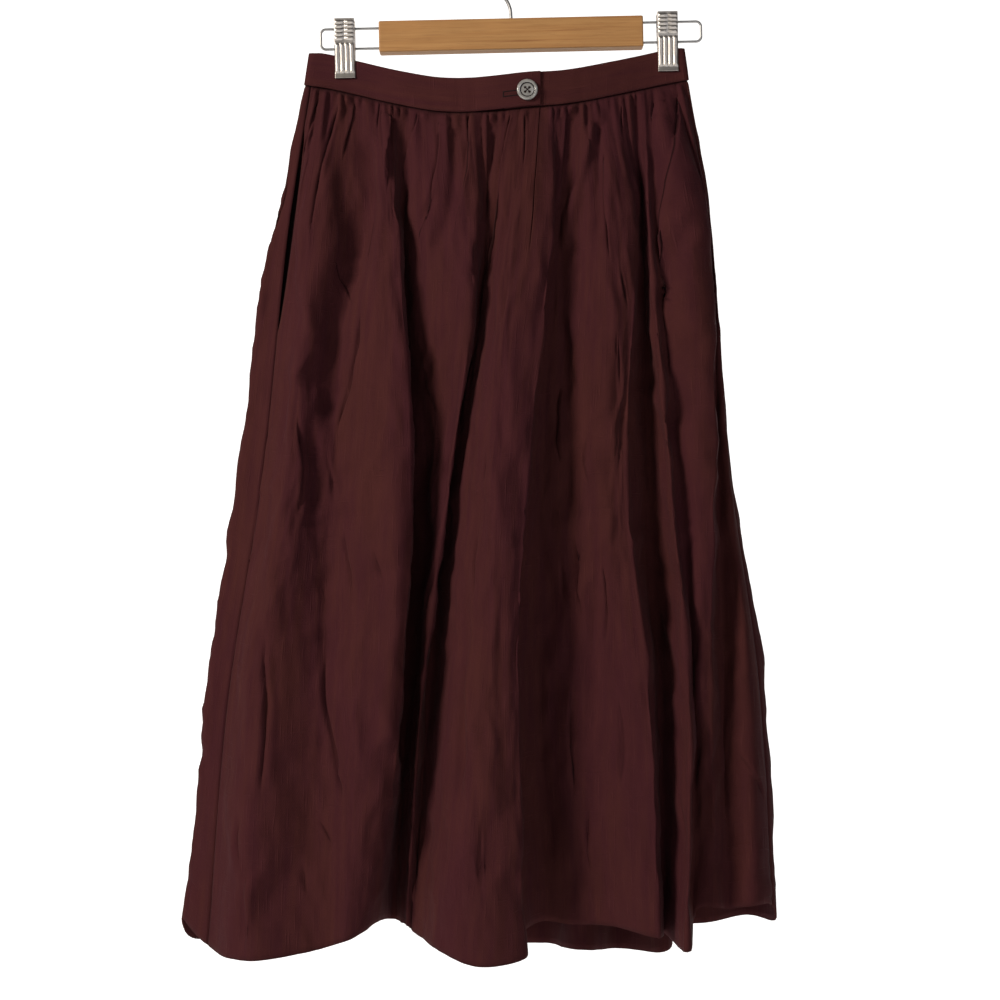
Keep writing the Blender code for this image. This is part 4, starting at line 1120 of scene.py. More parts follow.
def cross_section(kind, distance, half_width, depth, cleft):
    """How far the cloth stands out at a distance to the right of a crease."""
    cleft = cleft * CLEFT_DEPTH
    if kind == LAP:
        side = distance * math.copysign(1, depth)
        over = np.where(side > 0, np.exp(-np.abs(side) / (3.2 * half_width)), 0)
        under = np.where(side < 0, np.exp(-np.abs(side) / (1.6 * half_width)), 0)
        return abs(depth) * (0.9 * over - 0.5 * under) - cleft
    if kind == SHARP:
        shoulders = np.exp(-((np.abs(distance) / half_width - 1.5) ** 2))
        dip = np.exp(-((distance / (0.6 * half_width)) ** 2))
        return depth * (0.4 * dip - 0.28 * shoulders) - cleft
    return depth * np.exp(-((distance / half_width) ** 2))


def lay_creases(grid, table):
    """Slide columns onto the upright creases, longest first, then press every crease in or out and paint
    shade along the clefts that have a column.
    """
    across, down = picture_place(grid.table)
    depth = grid.table[..., 1] * (1 if grid.side == "front" else -1)
    rows = np.arange(len(grid.v))
    traced, sharing = [], 0
    longest_first = sorted(table, key=lambda row: row[3][0][1] - row[3][-1][1])
    for kind, half_width, height, line in longest_first:
        level = abs(line[-1][0] - line[0][0]) > abs(line[-1][1] - line[0][1])
        if level:
            found = crossings([(y, x) for x, y in line], down.T, across.T, depth.T)
        else:
            found = crossings(line, across, down, depth)
        if np.isnan(found).all():
            continue
        taper, owned = tapered(found, grid.table_u * grid.width if level else grid.v * grid.length), 0.0
        found = steady(found)
        if level:
            found = np.interp(found, rows, grid.v)
        else:
            found = np.interp(found, np.arange(len(grid.table_u)), grid.table_u)
            if kind != SOFT:
                owned = 0.0 if grid.add_track(found) is None else 1.0
                sharing += not owned
        traced.append((level, kind, half_width * MM, height * MM, found, taper, owned))
    grid.read_places()
    amounts = np.zeros(grid.across.shape)
    for level, kind, half_width, height, found, taper, owned in traced:
        if level:
            at = np.interp(grid.across, grid.table_u, found)
            distance = (grid.v[:, None] - at) * grid.length
            taper = np.interp(grid.across, grid.table_u, taper)
        else:
            distance = (grid.across - found[:, None]) * grid.width
            taper = taper[:, None]
        beyond = np.isnan(distance)
        distance = np.where(beyond, 1.0, distance)
        cleft = np.clip(1 - np.abs(distance) / CLEFT, 0, 1) * owned
        shape = cross_section(kind, distance, half_width, height, cleft)
        amounts += np.where(beyond, 0, shape * taper)
        # Painted shade: a dark line in the colour along each cleft with a column, full near the band and
        # weaker lower down; pressed is only its strength.
        pressed = 1 - SHADE_LOSS * np.clip((grid.v[:, None] - SHADE_LOSS_FROM) / SHADE_LOSS_SPAN, 0, 1)
        grid.shade = np.maximum(grid.shade, cleft * np.minimum(2 * taper, 1) * pressed)
    grid.push(amounts)
    print("creases laid:", len(traced), "of", len(table), "and", sharing, "without a column of their own")


def crests_of(side):
    """The table's rows for one side, with the fold's share across the panel for its name."""
    names = [row[0] for row in (FRONT_FOLDS if side == "front" else BACK_FOLDS)]
    return [(drape.marks[side][names.index(row[1])], *row[2:]) for row in CRESTS if row[0] == side]


def track_crests(grid):
    """Columns for the pressed crests of this side."""
    for share, _, _, start, end in crests_of(grid.side):
        grid.add_track(np.where((grid.v >= start) & (grid.v <= end), share, np.nan))


def raise_crests(grid):
    amounts = np.zeros(grid.across.shape)
    for share, height, half_width, start, end in crests_of(grid.side):
        distance = np.abs(grid.across - share) * grid.width
        along = [smooth((v - start) / CREST_FADE) * smooth((end - v) / CREST_FADE) for v in grid.v]
        crest = np.exp(-distance / (0.6 * half_width * MM)) * np.array(along)[:, None]
        amounts += height * MM * crest
    grid.push(amounts)


print("creases:", len(CREASES), "drawn,", len(CRESTS), "pressed crests")

# %% [markdown]
# ## Crumple, turned hem and side seams
# Between the named creases linen is never flat. It has soft dents that run down the cloth more than across
# it, and over them a net of faint pressed ridges. Smooth noise makes the dents, and the same noise folded
# at its zero line makes the ridges. The hem is turned up 38 mm, which shows outside as a faint level line,
# and each side seam draws the cloth in along a narrow groove.

# %% Fine form of a panel
HEM_TURN = 0.038
SEAM_CALM = 0.022
BAND_CALM_SHARE, BAND_CALM_FROM, BAND_CALM_SPAN = 0.3, 0.02, 0.12
HEM_CALM_SHARE, HEM_CALM_SPAN = 0.3, 0.07
BEND, BEND_SIZE = 0.9, 0.07
# How far below the band the painted shade of the seam and of the tuck gaps reaches.
SEAM_SHADE, TUCK_SHADE = 0.0009, 0.009
GROOVE = 0.0016
CRUMPLES = (
    # height in millimetres, size across and down the cloth in metres, offset, folded to ridges or not
    (5.0, 0.046, 0.130, 3.7, False),
    (4.8, 0.030, 0.070, 7.9, True),
    (2.6, 0.016, 0.036, 11.3, True),
    (0.8, 0.007, 0.015, 19.1, False),
)


def crumple(grid, strength=1.0):
    """Dents and ridges all over, calm just under the band where the tucks are."""
    amounts = np.zeros(grid.across.shape)
    shift = 0.0 if grid.side == "front" else 40.0
    for height, wide, tall, offset, ridged in CRUMPLES:
        for r, v in enumerate(grid.v):
            eased = smooth((v - BAND_CALM_FROM) / BAND_CALM_SPAN)
            calm = (BAND_CALM_SHARE + (1 - BAND_CALM_SHARE) * eased) * smooth(v / BAND_CALM_FROM)
            calm *= height * MM * strength
            if ridged:
                calm *= HEM_CALM_SHARE + (1 - HEM_CALM_SHARE) * smooth((1 - v) / HEM_CALM_SPAN)
            for c, u in enumerate(grid.across[r]):
                x, y = u * grid.width, v * grid.length
                by_seam = smooth(min(x, grid.width - x) / SEAM_CALM)
                bend = BEND * noise.noise(Vector((x / BEND_SIZE + shift, y / BEND_SIZE, offset + 30)))
                value = noise.noise(Vector((x / wide + shift + bend, y / tall + bend, offset)))
                amounts[r, c] += calm * by_seam * ((0.25 - abs(value)) if ridged else value)
    grid.push(amounts)


def shade_tucks(grid):
    """Painted shade in the colour at the seam under the band and between the tucks there, where no light gets
    in.
    """
    below = np.abs(grid.v) * grid.length
    for r, v in enumerate(grid.v):
        gaps = [drape.gap_between_tucks(grid.side, float(u)) for u in grid.across[r]]
        shade = np.array(gaps) * math.exp(-below[r] / TUCK_SHADE) + 0.9 * math.exp(-below[r] / SEAM_SHADE)
        grid.shade[r] = np.minimum(np.maximum(grid.shade[r], shade), 1)


def turn_hem_and_seams(grid):
    up = (1 - grid.v) * grid.length
    line = -0.5 * MM * np.exp(-(((up - HEM_TURN) / 0.003) ** 2))
    edge = np.minimum(grid.across, 1 - grid.across) * grid.width
    seam = -0.9 * MM * np.exp(-edge / GROOVE)
    tucked_in = -1.1 * MM * np.exp(-np.abs(grid.v) * grid.length / GROOVE)
    grid.push((line + tucked_in)[:, None] + seam)


# %% [markdown]
# ## From grid to panel
# The mesh itself starts as Blender's own flat grid. Its points are moved to the places worked out above, and
# the flat cloth's coordinates are kept as a UV map, so the weave follows the threads. Each piece has its own
# place on the bolt, so no two show the same slubs. A Solidify modifier gives the wall, thicker at the turned
# hem where the cloth lies double.


# %% Build a panel
def new_piece(name, mesh, material, node=None):
    """Link a finished mesh as a piece of the skirt, in place of a node where it has one."""
    obj = add_object(name, mesh)
    mesh.materials.clear()
    mesh.materials.append(material)
    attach(obj, "root")
    if node:
        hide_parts(node)
    return obj


def thicken(obj, wall, **settings):
    add_modifier(obj, "wall", "SOLIDIFY", thickness=wall, **{"offset": 0.0, "use_rim": True, **settings})


def round_edges(obj, width, segments, degrees):
    look = {"width": width, "segments": segments, "angle_limit": math.radians(degrees)}
    add_modifier(obj, "rounding", "BEVEL", limit_method="ANGLE", **look)


def grid_mesh(name, places, cloth, weights=None, shade=None, slit=None):
    """A mesh from rows and columns of places, with its flat coordinates as the map 'cloth'."""
    rows, columns = places.shape[:2]
    bm = bmesh.new()
    bmesh.ops.create_grid(bm, x_segments=columns - 1, y_segments=rows - 1, size=0.5)
    flat = bm.loops.layers.uv.new("cloth")
    groups = bm.verts.layers.deform.verify()
    # The 'crease' attribute carries the grid's painted shade to the linen material.
    crease = bm.verts.layers.float.new("crease")
    address = {}
    for vertex in bm.verts:
        c = round((vertex.co.x + 0.5) * (columns - 1))
        r = round((vertex.co.y + 0.5) * (rows - 1))
        address[vertex] = (r, c)
        vertex.co = places[r, c]
        if weights is not None:
            vertex[groups][0] = float(weights[r])
            vertex[crease] = float(shade[r, c])
    for face in bm.faces:
        for loop in face.loops:
            loop[flat].uv = cloth[address[loop.vert]]
    if slit:
        cut_slit(bm, address, *slit)
    bmesh.ops.reverse_faces(bm, faces=bm.faces)
    return mesh_from(bm, name)


def cut_slit(bm, address, column, last_row):
    """Part the cloth along one column, from the band down to a row, and hold its edges a little apart."""
    on_slit = {v for v, (r, c) in address.items() if c == column and r <= last_row}
    spread = {address[v][0]: v.co.x for v in on_slit}
    edges = [e for e in bm.edges if all(v in on_slit for v in e.verts)]
    bmesh.ops.split_edges(bm, edges=edges)
    last = max(spread)
    for row, x in spread.items():
        reach = SLIT_PARTING * smooth((last - row) / 6)
        for vertex in [v for v in bm.verts if abs(v.co.x - x) < 1e-9 and v.is_boundary]:
            middle = sum(f.calc_center_median().x for f in vertex.link_faces) / len(vertex.link_faces)
            vertex.co.x += math.copysign(reach, middle - x)


CLOTH_WALL = 0.0009
SLIT_PARTING = 0.0004
BOLT_PLACE = {"front": 0.0, "back": 1.7, "band": 3.1, "strip": 5.3, "bag": 7.0}


def make_panel(name, node, side, column_step, row_step, table, strength):
    grid = ClothGrid(side, column_step, row_step)
    slit = None
    if side == "front":
        slit_rows = int(np.sum(grid.v < HIP))
        shares = np.where(np.arange(len(grid.v)) <= slit_rows, SLIT_SHARE, np.nan)
        slit = (grid.add_track(shares, SLIT_PULL), slit_rows)
    track_crests(grid)
    lay_creases(grid, table)
    raise_crests(grid)
    crumple(grid, strength)
    turn_hem_and_seams(grid)
    shade_tucks(grid)
    down = np.repeat(grid.v[:, None], grid.columns, axis=1)
    cloth = np.stack([grid.across * grid.width + BOLT_PLACE[side], (1 - down) * grid.length], axis=2)
    doubled = np.clip(1 - ((1 - grid.v) * grid.length - HEM_TURN) / 0.002, 0, 1)
    mesh = grid_mesh(name, grid.places, cloth, doubled, grid.shade, slit)
    panel = new_piece(name, mesh, linen, node)
    panel.vertex_groups.new(name="turned_hem")
    thicken(panel, CLOTH_WALL * 2, offset=-1.0, vertex_group="turned_hem", thickness_vertex_group=0.5)
    print(name, grid.places.shape[:2], "points,", len(mesh.polygons), "faces")
    return panel


front_cloth = make_panel("front_cloth", "skirt_front", "front", 0.0024, 0.0056, CREASES, 1.0)
back_cloth = make_panel("back_cloth", "skirt_back", "back", 0.0030, 0.0062, BACK_CREASES, 1.2)

# %% [markdown]
# ## Waistband
# The band is one straight strip, folded to 30 mm. It starts at its overlap, runs right round the waist and
# ends under its own start, which the button closes. It is crisper than the skirt: only the pull of the
# gathers and a few dimples between the clips disturb it.

# %% Waistband
BAND_ROWS = 12
BAND_MIDDLE_X = -0.013
LEAN, LEAN_FROM, LEAN_SPAN = 0.0042, 0.125, 0.045
SAG, SAG_FROM, SAG_SPAN = 0.0018, 0.158, 0.013
BUTTON_FLAT_X, BUTTON_FLAT, BUTTON_FLAT_EASE = 0.006, 0.018, 0.02
BAND_DIMPLES = (
    # X, half width and depth in millimetres
    (-46, 3.0, 0.7),
    (-33, 3.5, 0.6),
    (-70, 4.0, 0.4),
    (62, 3.5, 0.5),
    (96, 4.0, 0.5),
)


def band_relief(t, height, base):
    """How far the band stands out of its plain ring at a distance t from its end, in metres."""
    low = 1 + height / BAND_HEIGHT
    bump = 0.45 * noise.noise(Vector((t / 0.011, height / 0.02, 5.1))) * (1 - low) ** 2
    bump += 0.35 * noise.noise(Vector((t / 0.030, height / 0.03, 8.2)))
    if base.y > 0:
        return bump * MM
    for x, half_width, depth in BAND_DIMPLES:
        bump -= depth * math.exp(-(((base.x / MM - x) / half_width) ** 2)) * (1 - 0.5 * low)
    return bump * MM * smooth((abs(base.x - BUTTON_FLAT_X) - BUTTON_FLAT) / BUTTON_FLAT_EASE)


def band_places():
    """Rows and columns of points over the whole strip, and its flat coordinates."""
    start = waist.front_distance(OVERLAP_END_X)
    end = waist.front_distance(UNDERLAP_END_X)
    total = waist.length + start - end
    travelled = np.linspace(0, total, round(total / BAND_STEP) + 1)
    heights = np.linspace(-BAND_HEIGHT, 0, BAND_ROWS + 1)
    places, cloth = [], []
    for height in heights:
        row, flat = [], []
        for t in travelled:
            base = waist.at(start - t)
            ahead = waist.at(start - t - 0.001) - waist.at(start - t + 0.001)
            out = Vector((ahead.y, -ahead.x, 0)).normalized() * -1
            low = 1 + height / BAND_HEIGHT
            beyond = abs(base.x - BAND_MIDDLE_X)
            inwards = -math.copysign(LEAN, base.x - BAND_MIDDLE_X)
            lean = inwards * smooth((beyond - LEAN_FROM) / LEAN_SPAN) * low
            sag = SAG * smooth((beyond - SAG_FROM) / SAG_SPAN) * low**2
            moved = Vector((lean, -overlap_lift(t), height - sag))
            row.append(base + out * band_relief(t, height, base) + moved)
            flat.append((height + BOLT_PLACE["band"], t))
        places.append(row)
        cloth.append(flat)
    return np.array(places), np.array(cloth)


def make_waistband():
    places, cloth = band_places()
    mesh = grid_mesh("band_cloth", places, cloth)
    band = new_piece("band_cloth", mesh, linen, "waistband")
    thicken(band, BAND_WALL)
    round_edges(band, 0.0006, 3, 50)
    print("band:", len(mesh.polygons), "faces before its wall")
    return band


band_cloth = make_waistband()

# %% [markdown]
# ## Seam stitches
# A row of short stitches holds the band down just above its lower edge. One stitch is a stretched ball with
# few faces, and the row is a loop that sets it down every 2.6 mm all round the band.

# %% Stitches along the band
STITCH_LENGTH = 0.0021
STITCH_PITCH = 0.0026
STITCH_RADIUS = 0.00016
STITCH_ABOVE_EDGE = 0.0012


def add_stitch(bm, place, direction, length, radius):
    """One stitch: a ball drawn out along its direction."""
    ball = bmesh.ops.create_uvsphere(bm, u_segments=6, v_segments=4, radius=1.0)["verts"]
    turn = direction.to_track_quat("Z", "Y").to_matrix().to_4x4()
    shape = Matrix.Diagonal((radius, radius, length / 2, 1))
    bmesh.ops.transform(bm, matrix=Matrix.Translation(place) @ turn @ shape, verts=ball)


def make_band_stitches():
    bm = bmesh.new()
    start = waist.front_distance(OVERLAP_END_X)
    total = waist.length
    for k in range(int(total / STITCH_PITCH)):
        t = 0.0015 + k * STITCH_PITCH
        base, ahead = waist.at(start - t), waist.at(start - t - STITCH_LENGTH)
        direction = (ahead - base).normalized()
        out = Vector((direction.y, -direction.x, 0)).normalized() * -1
        place = (base + ahead) / 2 + Vector((0, -overlap_lift(t), STITCH_ABOVE_EDGE - BAND_HEIGHT))
        relief = band_relief(t + STITCH_LENGTH / 2, STITCH_ABOVE_EDGE - BAND_HEIGHT, base)
        place += out * (BAND_WALL / 2 + 0.00005 + relief)
        add_stitch(bm, place, direction, STITCH_LENGTH, STITCH_RADIUS)
    return new_piece("band_stitches", mesh_from(bm, "band_stitches"), thread)


band_stitches = make_band_stitches()
print("stitches:", len(band_stitches.data.polygons), "faces")

# %% [markdown]
# ## Placket strip and pocket bags
# The slit under the button is backed by a narrow strip, and each side seam opens into a flat pocket bag.
# Little of them shows, but they are real pieces. The strip takes its points from the front, moved inwards.

# %% Placket strip
STRIP_SHARES = (-0.013, 0.005)
STRIP_DEPTH = 0.0021
STRIP_WALL = 0.0007


def make_placket_strip():
    rows = np.linspace(0.004, HIP, 30)
    shares = SLIT_SHARE + np.linspace(*STRIP_SHARES, 9)
    places = []
    for v in rows:
        row = []
        for u in shares:
            here = drape.point("front", round(float(u), 7), v)
            across = drape.point("front", round(float(u), 7) + 0.004, v) - here
            down = drape.point("front", round(float(u), 7), v + 0.004) - here
            row.append(here - down.cross(across).normalized() * STRIP_DEPTH)
        places.append(row)
    width = drape.width["front"]
    cloth = np.array([[(u * width + BOLT_PLACE["strip"], -v * drape.length) for u in shares] for v in rows])
    mesh = grid_mesh("placket_cloth", np.array(places), cloth)
    strip = new_piece("placket_cloth", mesh, linen, "placket_strip")
    thicken(strip, STRIP_WALL)
    return strip


placket_cloth = make_placket_strip()
print("placket strip:", len(placket_cloth.data.polygons), "faces")

# %% Pocket bags
POCKET_MOUTH_TOP, POCKET_MOUTH_END = -0.192, -0.330
BAG_TOP, BAG_BOTTOM = -0.186, -0.400
BAG_TOP_DEPTH, BAG_BOTTOM_DEPTH = 0.0015, 0.0190
BAG_WIDTH = 0.130
BAG_WALL = 0.0006
BAG_HALF_GAP = 0.0009
BAG_SEAT = 0.0008
BAG_CUTS = ((Vector((1, 0, 0)), 14), (Vector((0, 0, 1)), 16))
MOUTH_EASE, MIDDLE_EASE, SEWN_EASE = 0.4, 0.3, 0.12


def edge_at(panel, side, z):
    """Where the front's or the back's edge runs at a height."""
    u = 1 - 1e-7 if (panel == "back") == (side == "left") else 0.0
    _, top, hem = drape.column(panel, u)
    return drape.point(panel, u, (z - top) / (hem - top))


def make_pocket_bag(side):
    """A flat bag, open along its mouth at the side seam, hanging between the front and the back."""
    inwards = 1 if side == "left" else -1
    bm = bmesh.new()
    bmesh.ops.create_cube(bm, size=1.0)
    flat = bm.loops.layers.uv.new("cloth")
    mouth = [f for f in bm.faces if f.normal.x < -0.5]
    bmesh.ops.delete(bm, geom=mouth, context="FACES_ONLY")
    for normal, count in BAG_CUTS:
        for i in range(1, count):
            geom = bm.verts[:] + bm.edges[:] + bm.faces[:]
            bmesh.ops.bisect_plane(bm, geom=geom, plane_co=normal * (i / count - 0.5), plane_no=normal)
    for face in bm.faces:
        for loop in face.loops:
            across, up = loop.vert.co.x * BAG_WIDTH, loop.vert.co.z * (BAG_TOP - BAG_BOTTOM)
            loop[flat].uv = (across + BOLT_PLACE["bag"], up)
    for vertex in bm.verts:
        depth, layer, height = vertex.co.x + 0.5, vertex.co.y * 2, vertex.co.z + 0.5
        mouth_z = POCKET_MOUTH_END + (POCKET_MOUTH_TOP - POCKET_MOUTH_END) * height
        bag_z = BAG_BOTTOM + (BAG_TOP - BAG_BOTTOM) * height
        z = mouth_z + (bag_z - mouth_z) * smooth(depth / MOUTH_EASE)
        seam, opening = edge_at("back", side, z), edge_at("front", side, z)
        hollow = BAG_TOP_DEPTH + (BAG_BOTTOM_DEPTH - BAG_TOP_DEPTH) * (BAG_TOP - z) / (BAG_TOP - BAG_BOTTOM)
        by_mouth = 1 - smooth(depth / MIDDLE_EASE)
        half = BAG_HALF_GAP * (1 + 0.5 * by_mouth)
        middle = hollow + (seam.y + 2 * half - hollow) * by_mouth
        vertex.co = Vector((seam.x + inwards * (BAG_SEAT + BAG_WIDTH * depth), middle + layer * half, z))
        if layer < 0:
            sewn_to = opening + Vector((inwards * 0.5 * BAG_SEAT, BAG_SEAT, 0))
            vertex.co = vertex.co.lerp(sewn_to, 1 - smooth(depth / SEWN_EASE))
    bmesh.ops.recalc_face_normals(bm, faces=bm.faces)
    name = f"pocket_{side}"
    # The bag's nearly black linen is painted shade for the inside of the pocket.
    bag = new_piece(name, mesh_from(bm, name), pocket_linen, f"pocket_bag_{side}")
    thicken(bag, BAG_WALL)
    return bag


pocket_left = make_pocket_bag("left")
pocket_right = make_pocket_bag("right")
print("pockets:", len(pocket_left.data.polygons), "faces each")

# %% [markdown]
# ## Button and buttonhole
# The button is turned: an outline spun round its axis, with a raised rim and a ring pressed inside it. Its
# four holes are cut with a Boolean, and two bundles of thread cross between them. The buttonhole lies level
# in the band, worked in close satin stitches on both sides of its slot.

# %% Button
BUTTON_X = 0.0142
BUTTON_RADIUS = 0.0093
BUTTON_THICKNESS = 0.003
BUTTON_HOLE_RADIUS = 0.00115
BUTTON_HOLE_SPACING = 0.0038
BUTTON_DROP = 0.0014
# Shares of the radius and of the thickness, from the middle of the face out to the foot
BUTTON_MIDDLE = ((0.0, 0.62), (0.56, 0.62), (0.62, 0.58))
BUTTON_RING = ((0.64, 0.44), (0.69, 0.44), (0.71, 0.90))
BUTTON_RIM = ((0.78, 1.0), (0.88, 1.0), (0.95, 0.86), (1.0, 0.6))
BUTTON_FOOT = ((0.99, 0.4), (0.94, 0.15), (0.7, 0.0), (0.0, 0.0))
# Shares of the radius that the ring's painted shade covers.
GROOVE_SHARES = (0.6, 0.7)


def band_front_face(x):
    """The front of the overlapped band at an X, and the middle of its height."""
    base = waist.at(waist.front_distance(x))
    return Vector((x, base.y - OVERLAP_LIFT - BAND_WALL / 2, base.z - BAND_HEIGHT / 2))


BUTTON_SEAT = band_front_face(BUTTON_X) - Vector((0, SEAM_GAP, BUTTON_DROP))
FACING = Matrix.Rotation(math.pi / 2, 4, "X")


def spun(outline, steps):
    """A closed outline of (radius, height) pairs turned once round Z."""
    bm = bmesh.new()
    verts = [bm.verts.new((x, 0, z)) for x, z in outline]
    for a, b in zip(verts, verts[1:]):
        bm.edges.new((a, b))
    turn = {"cent": (0, 0, 0), "axis": (0, 0, 1), "angle": 2 * math.pi, "steps": steps, "use_merge": True}
    bmesh.ops.spin(bm, geom=bm.verts[:] + bm.edges[:], **turn)
    bmesh.ops.remove_doubles(bm, verts=bm.verts, dist=1e-6)
    bmesh.ops.recalc_face_normals(bm, faces=bm.faces)
    return bm


def make_button():
    shares = BUTTON_MIDDLE + BUTTON_RING + BUTTON_RIM + BUTTON_FOOT
    outline = [(BUTTON_RADIUS * out, BUTTON_THICKNESS * up) for out, up in shares]
    disc = mesh_from(spun(outline, 64), "button_disc")
    cutters = []
    size = {"segments": 20, "radius1": BUTTON_HOLE_RADIUS, "radius2": BUTTON_HOLE_RADIUS}
    for across, up in ((1, 1), (-1, 1), (-1, -1), (1, -1)):
        place = Matrix.Translation(Vector((across, up, 0)) * BUTTON_HOLE_SPACING / 2)
        hole = bmesh.new()
        bmesh.ops.create_cone(hole, cap_ends=True, depth=BUTTON_THICKNESS * 4, matrix=place, **size)
        cutters.append(mesh_from(hole, "hole", smooth_faces=False))
    mesh = baked(disc, cutters)
    # Painted shade: points on the pressed ring are marked, and the shell material colours them nearly black.
    groove_shade = mesh.attributes.new("groove_shade", "FLOAT", "POINT")
    inner, outer = GROOVE_SHARES
    for vertex, mark in zip(mesh.vertices, groove_shade.data):
        mark.value = float(inner < vertex.co.xy.length / BUTTON_RADIUS < outer)
    mesh.transform(Matrix.Translation(BUTTON_SEAT) @ FACING)
    mesh.shade_smooth()
    piece = new_piece("button_shell", mesh, shell, "button")
    add_modifier(piece, "crisp edges", "EDGE_SPLIT", split_angle=math.radians(40))
    return piece


def make_button_thread():
    """Two crossed bundles of three threads, each bowed up between opposite holes."""
    bm = bmesh.new()
    top = BUTTON_SEAT - Vector((0, BUTTON_THICKNESS * 0.58, 0))
    for turn in (45, 135):
        direction = Vector((math.cos(math.radians(turn)), 0, math.sin(math.radians(turn))))
        beside = Vector((-direction.z, 0, direction.x))
        for strand in (-1, 0, 1):
            place = top + beside * strand * 0.00026 - Vector((0, 0.0002 if turn == 45 else 0.0004, 0))
            add_stitch(bm, place, direction, BUTTON_HOLE_SPACING * 1.45, 0.0002)
    return new_piece("button_thread", mesh_from(bm, "button_thread"), dark_thread)


button_shell = make_button()
make_button_thread()
print("button:", len(button_shell.data.polygons), "faces")

# %% Buttonhole
BUTTONHOLE_LEFT = -0.0066
BUTTONHOLE_HALF_HEIGHT = 0.0021
BUTTONHOLE_DROP = 0.0027
SATIN_PITCH, END_BAR_PITCH = 0.00042, 0.0004
SATIN_LENGTH, SATIN_RADIUS, SLOT_RADIUS = 0.0013, 0.00027, 0.00022


def make_buttonhole():
    """Close upright stitches above and below the slot, a bar of them at its end, and a dark strand along the
    slot for painted shade.
    """
    bm = bmesh.new()
    end = BUTTON_X + 0.004
    for k in range(int((end - BUTTONHOLE_LEFT) / SATIN_PITCH)):
        x = BUTTONHOLE_LEFT + k * SATIN_PITCH
        face = band_front_face(x)
        for above in (-1, 1):
            place = face + Vector((0, 0.00004, above * BUTTONHOLE_HALF_HEIGHT - BUTTONHOLE_DROP))
            add_stitch(bm, place, Vector((0, 0, 1)), SATIN_LENGTH, SATIN_RADIUS)
    left, right = band_front_face(BUTTONHOLE_LEFT), band_front_face(end)
    for k in range(-6, 7):
        place = left + Vector((-0.0002, 0.0, k * END_BAR_PITCH - BUTTONHOLE_DROP))
        add_stitch(bm, place, Vector((1, 0, 0)), SATIN_LENGTH, SATIN_RADIUS)
    # Painted shade: one long strand of the dark thread along the slot stands in for its shadow.
    middle, along = (left + right) / 2 - Vector((0, 0, BUTTONHOLE_DROP)), right - left
    add_stitch(bm, middle, along.normalized(), along.length, SLOT_RADIUS)
    return new_piece("buttonhole", mesh_from(bm, "buttonhole"), dark_thread)


buttonhole = make_buttonhole()
print("buttonhole:", len(buttonhole.data.polygons), "faces")

# %% [markdown]
# ## The hanger: bar, hook and wire loops
# A clip hanger is a wooden bar, a swivel hook of thick wire, and a long loop of thinner wire out of each
# end for the clips to slide on. It hangs a little askew, so all but the hook are made level and then tilted
# together. The wires are curves with a round section, turned into meshes.

# %% Hanger sizes
BAR_SIZE = (0.2345, 0.014, 0.0275)
BAR_CENTRE_Z = -0.0757
BAR_ROUNDING = 0.0014
ROD_RADIUS = 0.0011
ROD_SPACING = 0.0178
LOOP_REACH = 0.0530
LOOP_CORNER = 0.0045
HOOK_WIRE_RADIUS = 0.0015
HOOK_INSIDE_RADIUS = 0.019
HOOK_STEM = ((0, -0.012), (0, 0.002), (-0.0008, 0.010), (-0.0040, 0.0175), (-0.0095, 0.0235))
HOOK_START, HOOK_SWEEP, HOOK_STEPS = 215, 255, 48
TILTED = Matrix.Translation((0, 0, BAR_CENTRE_Z)) @ Matrix.Rotation(HANGER_TILT, 4, "Y")


# %% Bar, hook and loops
def make_bar():
    bm = bmesh.new()
    bmesh.ops.create_cube(bm, size=1.0)
    bmesh.ops.scale(bm, vec=BAR_SIZE, verts=bm.verts)
    look = {"offset": BAR_ROUNDING, "offset_type": "OFFSET", "segments": 4, "profile": 0.5, "material": -1}
    bmesh.ops.bevel(bm, geom=bm.edges[:] + bm.verts[:], affect="EDGES", **look)
    mesh = mesh_from(bm, "bar")
    mesh.transform(TILTED)
    bar = new_piece("bar", mesh, wood, "hanger_bar")
    add_modifier(bar, "flat faces", "WEIGHTED_NORMAL", keep_sharp=True)
    return bar


def make_wire(name, node, points, radius, matrix):
    """A round wire along the points, with filled ends, as a mesh."""
    curve = bpy.data.curves.new(name, "CURVE")
    curve.dimensions = "3D"
    curve.bevel_depth = radius
    curve.bevel_resolution = 5
    curve.use_fill_caps = True
    spline = curve.splines.new("POLY")
    spline.points.add(len(points) - 1)
    for target, place in zip(spline.points, points):
        target.co = (*place, 1.0)
    mesh = baked(curve)
    mesh.name = name
    mesh.transform(matrix)
    mesh.shade_smooth()
    return new_piece(name, mesh, wire_metal, node)


def hook_route():
    """Up out of the bar, over to one side, and round the open loop of a question mark."""
    radius = HOOK_INSIDE_RADIUS + HOOK_WIRE_RADIUS
    bar_top = BAR_CENTRE_Z + BAR_SIZE[2] / 2
    stem = [Vector((x, 0, bar_top + rise)) for x, rise in HOOK_STEM]
    loop = []
    for step in range(HOOK_STEPS + 1):
        angle = math.radians(HOOK_START - step * HOOK_SWEEP / HOOK_STEPS)
        loop.append(Vector((radius * math.cos(angle), 0, radius * math.sin(angle) - HOOK_INSIDE_RADIUS)))
    ends = [stem[0] * 2 - stem[1]] + stem + loop[:2]
    smoothed = []
    for k in range(1, len(stem) + 1):
        smoothed += [curve_between(*ends[k - 1 : k + 3], i / 6) for i in range(6)]
    return smoothed + loop[1:]


